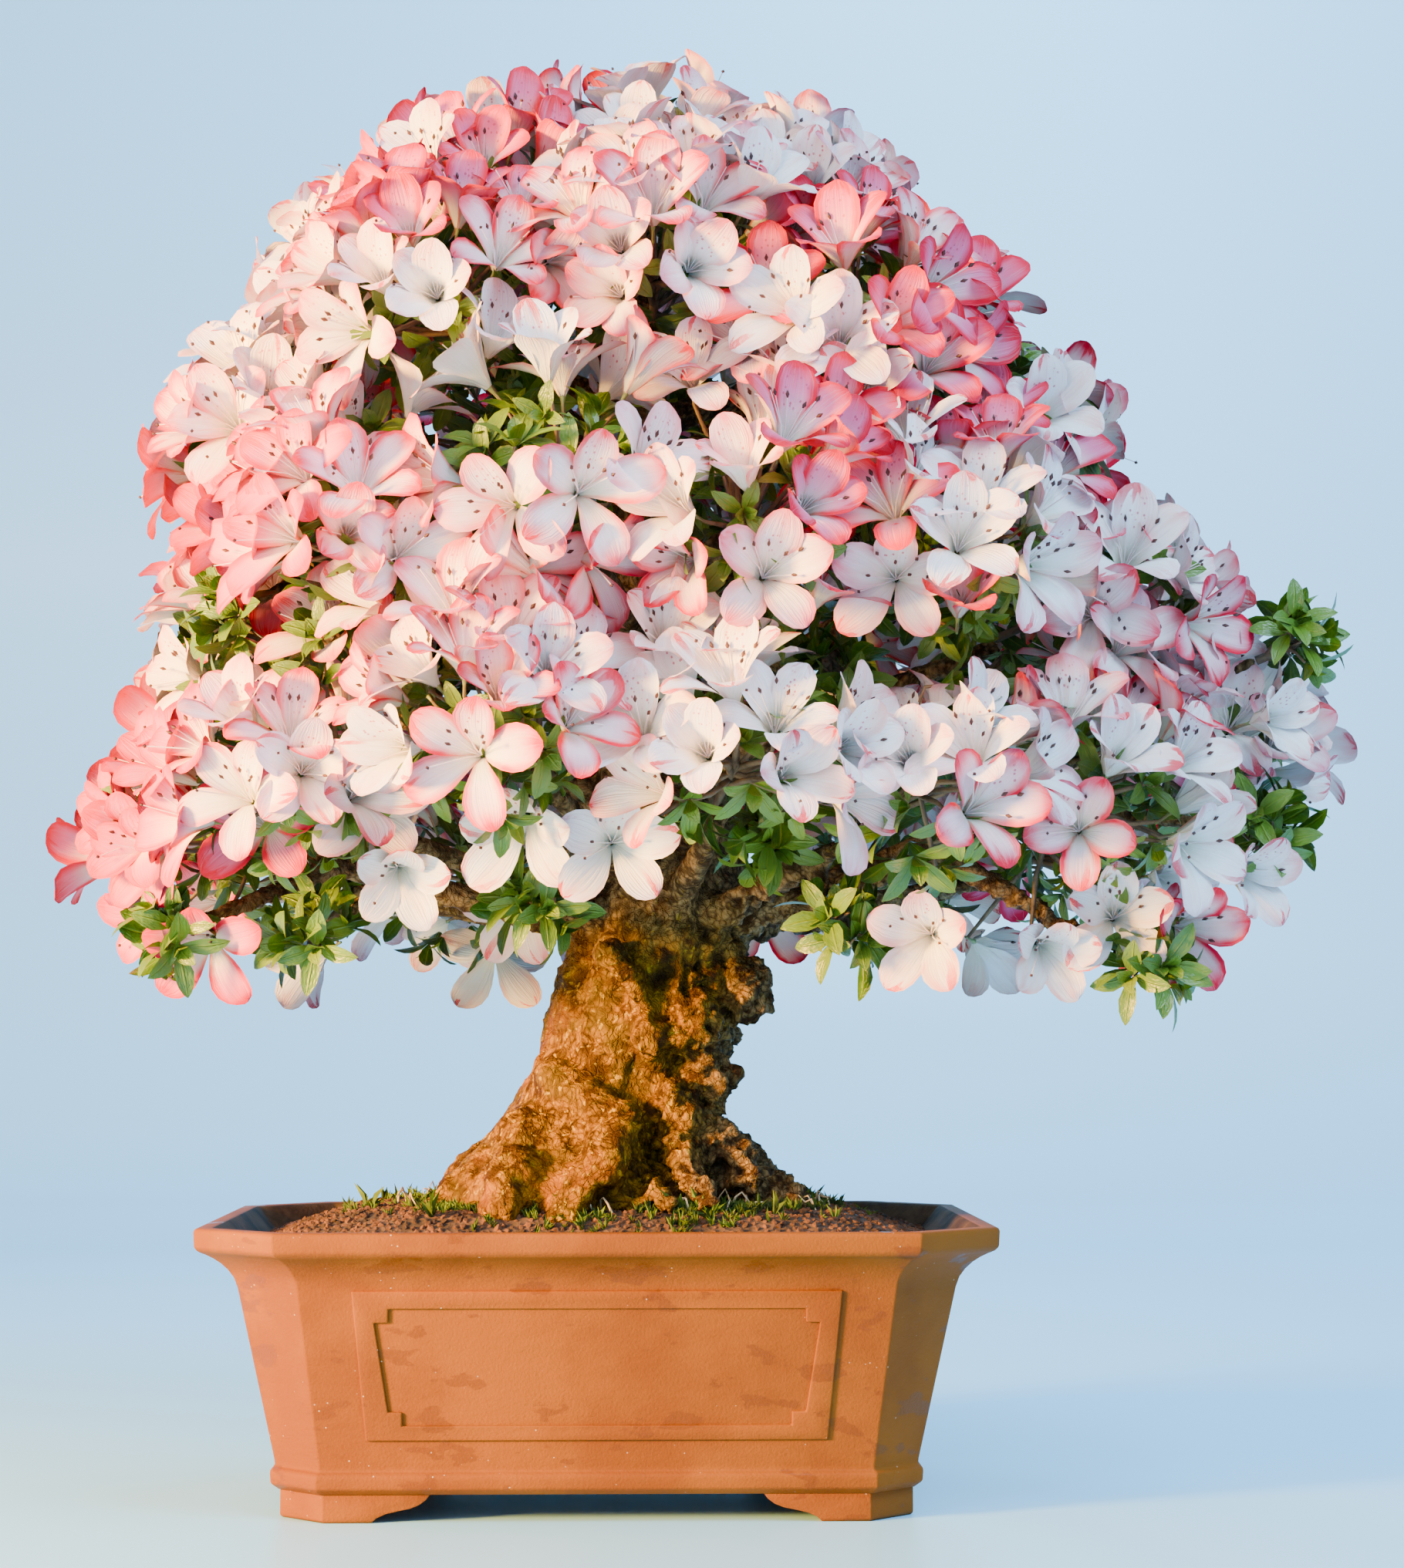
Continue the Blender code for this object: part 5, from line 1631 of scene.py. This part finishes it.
def pot_feet():
    """A ring of clay under the body, cut into four bracket feet."""
    half_length, half_depth, cut = FOOT_OUTER
    inner = (half_length - FOOT_WALL, half_depth - FOOT_WALL, cut - FOOT_WALL / 3)
    low = (half_length - FOOT_EDGE, half_depth - FOOT_EDGE, cut)
    top = FOOT_HEIGHT + 1.5
    levels = [(0.0, *low), (FOOT_EDGE, *FOOT_OUTER), (top, *FOOT_OUTER), (top, *inner), (0.0, *inner)]
    feet = loft("pot_feet", levels, closed=True)
    cutters = []
    for half_opening, way in ((FRONT_OPENING, 0), (SIDE_OPENING, 90)):
        right = [(half_opening + out, up) for out, up in BRACKET]
        right = [(right[0][0], -5.0), *right, (right[-1][0], 20.0)]
        left = [(-x, z) for x, z in reversed(right)]
        place = Matrix.Translation(POT_FOOT) @ turned(way, "Z") @ turned(90, "X")
        cutters.append(plate("bracket", [right + left], 260.0, place))
    cut_away(feet, cutters)
    return rounded(feet, 0.7, 2, 40.0)


def pot_frame(quarter):
    """The raised frame on one wall, its inner corners notched."""
    reach = 2 if quarter % 2 == 0 else 1
    half_top, half_bottom = FRONT_FRAME if quarter % 2 == 0 else SIDE_FRAME
    (low_z, low_out), (high_z, high_out) = [(level[0], level[reach]) for level in PANEL]
    slope = math.atan2(high_out - low_out, high_z - low_z)
    length = (FRAME_HIGH - FRAME_LOW) / math.cos(slope)
    outer = [
        (-half_bottom, -length / 2), (half_bottom, -length / 2),
        (half_top, length / 2), (-half_top, length / 2),
    ]
    low, high = -length / 2 + FRAME_BOTTOM, length / 2 - FRAME_TOP
    wide_low, wide_high, notch = half_bottom - FRAME_SIDE, half_top - FRAME_SIDE, FRAME_NOTCH
    right = [
        (wide_low - notch, low), (wide_low - notch, low + notch), (wide_low, low + notch),
        (wide_high, high - notch), (wide_high - notch, high - notch), (wide_high - notch, high),
    ]
    inner = right + [(-u, v) for u, v in reversed(right)]
    middle_z = (FRAME_HIGH + FRAME_LOW) / 2
    middle_out = low_out + (middle_z - low_z) / (high_z - low_z) * (high_out - low_out)
    turn = Matrix.Translation(POT_FOOT) @ turned(90 * quarter, "Z")
    lay = Matrix.Translation(Vector((0, -middle_out, middle_z)) * MM)
    upright = Matrix.Rotation(math.radians(90) + slope, 4, "X")
    place = turn @ lay @ upright @ Matrix.Translation(Vector((0, 0, -FRAME_ROOT)) * MM)
    return rounded(plate("pot_frame", [outer, inner], FRAME_ROOT + FRAME_RELIEF, place), 0.9, 3, 40.0)


def drain_plug(side):
    """What is cut out of the floor for one of the drainage holes."""
    bm = bmesh.new()
    bmesh.ops.create_cone(
        bm, cap_ends=True, segments=32, radius1=DRAIN_RADIUS * MM, radius2=DRAIN_RADIUS * MM, depth=30 * MM,
        matrix=Matrix.Translation(from_pot((side * DRAIN_X, 0, 20))),
    )
    return mesh_object("drain", bm)


def is_inner_wall(face):
    """True on the faces that slope down inside from the lip."""
    local = to_pot(face.center)
    inward = Vector((-local.x, -local.y * 1.33, 0.0)).normalized()
    return local.z > 118.0 and face.normal.dot(inward) > 0.3 and abs(face.normal.z) < 0.95


def make_pot():
    """The clay pot: body, feet and the four frames as one piece, darker inside the lip."""
    body = rounded(loft("pot_body", POT_OUTSIDE + POT_INSIDE), 1.3, 3, 20.0)
    cut_away(body, [drain_plug(-1), drain_plug(1)])
    pot = joined("clay_pot", [body, pot_feet()] + [pot_frame(quarter) for quarter in range(4)])
    give_material(pot, CLAY, LIP)
    for face in pot.data.polygons:
        face.material_index = 1 if is_inner_wall(face) else 0
        face.use_smooth = True
    for vert in pot.data.vertices:
        vert.co.z = max(0.0, vert.co.z)
    pot.data.set_sharp_from_angle(angle=math.radians(35))
    return as_piece(pot, "clay", "pot")


# Studio


def make_studio():
    """A pale blue floor that sweeps up into the backdrop. Its rows are (y, height) in metres."""
    floor = new_object("floor", bpy.data.meshes.new("floor"))
    rows = [
        (-3.4, 0.0), (1.9, 0.0), (2.25, 0.03), (2.5, 0.12), (2.68, 0.28), (2.78, 0.5), (2.8, 0.9), (2.8, 3.6),
    ]
    verts = [(x, y, z) for y, z in rows for x in (-4.0, 4.0)]
    faces = [(2 * k, 2 * k + 1, 2 * k + 3, 2 * k + 2) for k in range(len(rows) - 1)]
    floor.data.from_pydata(verts, [], faces)
    for face in floor.data.polygons:
        face.use_smooth = True
    material, _tree, shader, _place = finish_material("paper", 0.35)
    shader.inputs["Base Color"].default_value = colour(0.34, 0.70, 1.0)
    give_material(floor, material)


def area_light(name, place, aim, size, energy, tint):
    """A round lamp. Its places and size are in metres."""
    data = bpy.data.lights.new(name, "AREA")
    data.shape = "DISK"
    data.size = size
    data.energy = energy
    data.color = tint
    light = new_object(name, data)
    light.location = place
    light.rotation_euler = (Vector(aim) - Vector(place)).to_track_quat("-Z", "Y").to_euler()


def make_lights():
    """Warm low light from the left, soft light in front, cool light from the right and blue behind."""
    heart = (POT_CENTRE.x, POT_CENTRE.y, 0.42)
    area_light("warm_key", (-1.5, -0.95, 0.50), heart, 0.35, 240.0, (1.0, 0.50, 0.08))
    area_light("cool_fill", (1.1, -1.4, 2.3), heart, 1.4, 94.0, (0.46, 0.74, 1.0))
    area_light("wall_wash", (0.6, 1.2, 2.6), (0.6, 2.8, 0.6), 1.2, 70.0, (0.34, 0.72, 1.0))
    area_light("soft_front", (-1.1, -1.4, 1.1), heart, 1.0, 26.0, (1.0, 0.80, 0.56))
    world = bpy.data.worlds.new("studio")
    world.use_nodes = True
    background = world.node_tree.nodes["Background"]
    background.inputs[0].default_value = (0.40, 0.71, 1.0, 1.0)
    background.inputs[1].default_value = 1.06
    bpy.context.scene.world = world


def make_camera():
    data = bpy.data.cameras.new("camera")
    data.sensor_width = SENSOR
    data.lens = CAMERA_LENS
    camera = new_object("camera", data)
    camera.location = (
        POT_CENTRE.x + CAMERA_SIDE, POT_CENTRE.y - CAMERA_BACK, POT_HEIGHT + CAMERA_OVER_RIM,
    )
    camera.rotation_euler = Euler((math.radians(90 + CAMERA_PITCH), 0.0, -math.radians(CAMERA_YAW)))
    bpy.context.scene.camera = camera


make_camera()
make_lights()
make_studio()
make_pot()
make_soil()
make_trunk()
make_crown()
for screen in ("drain_screen_left", "drain_screen_right"):
    give_material(frame["nodes"][screen], SCREEN)
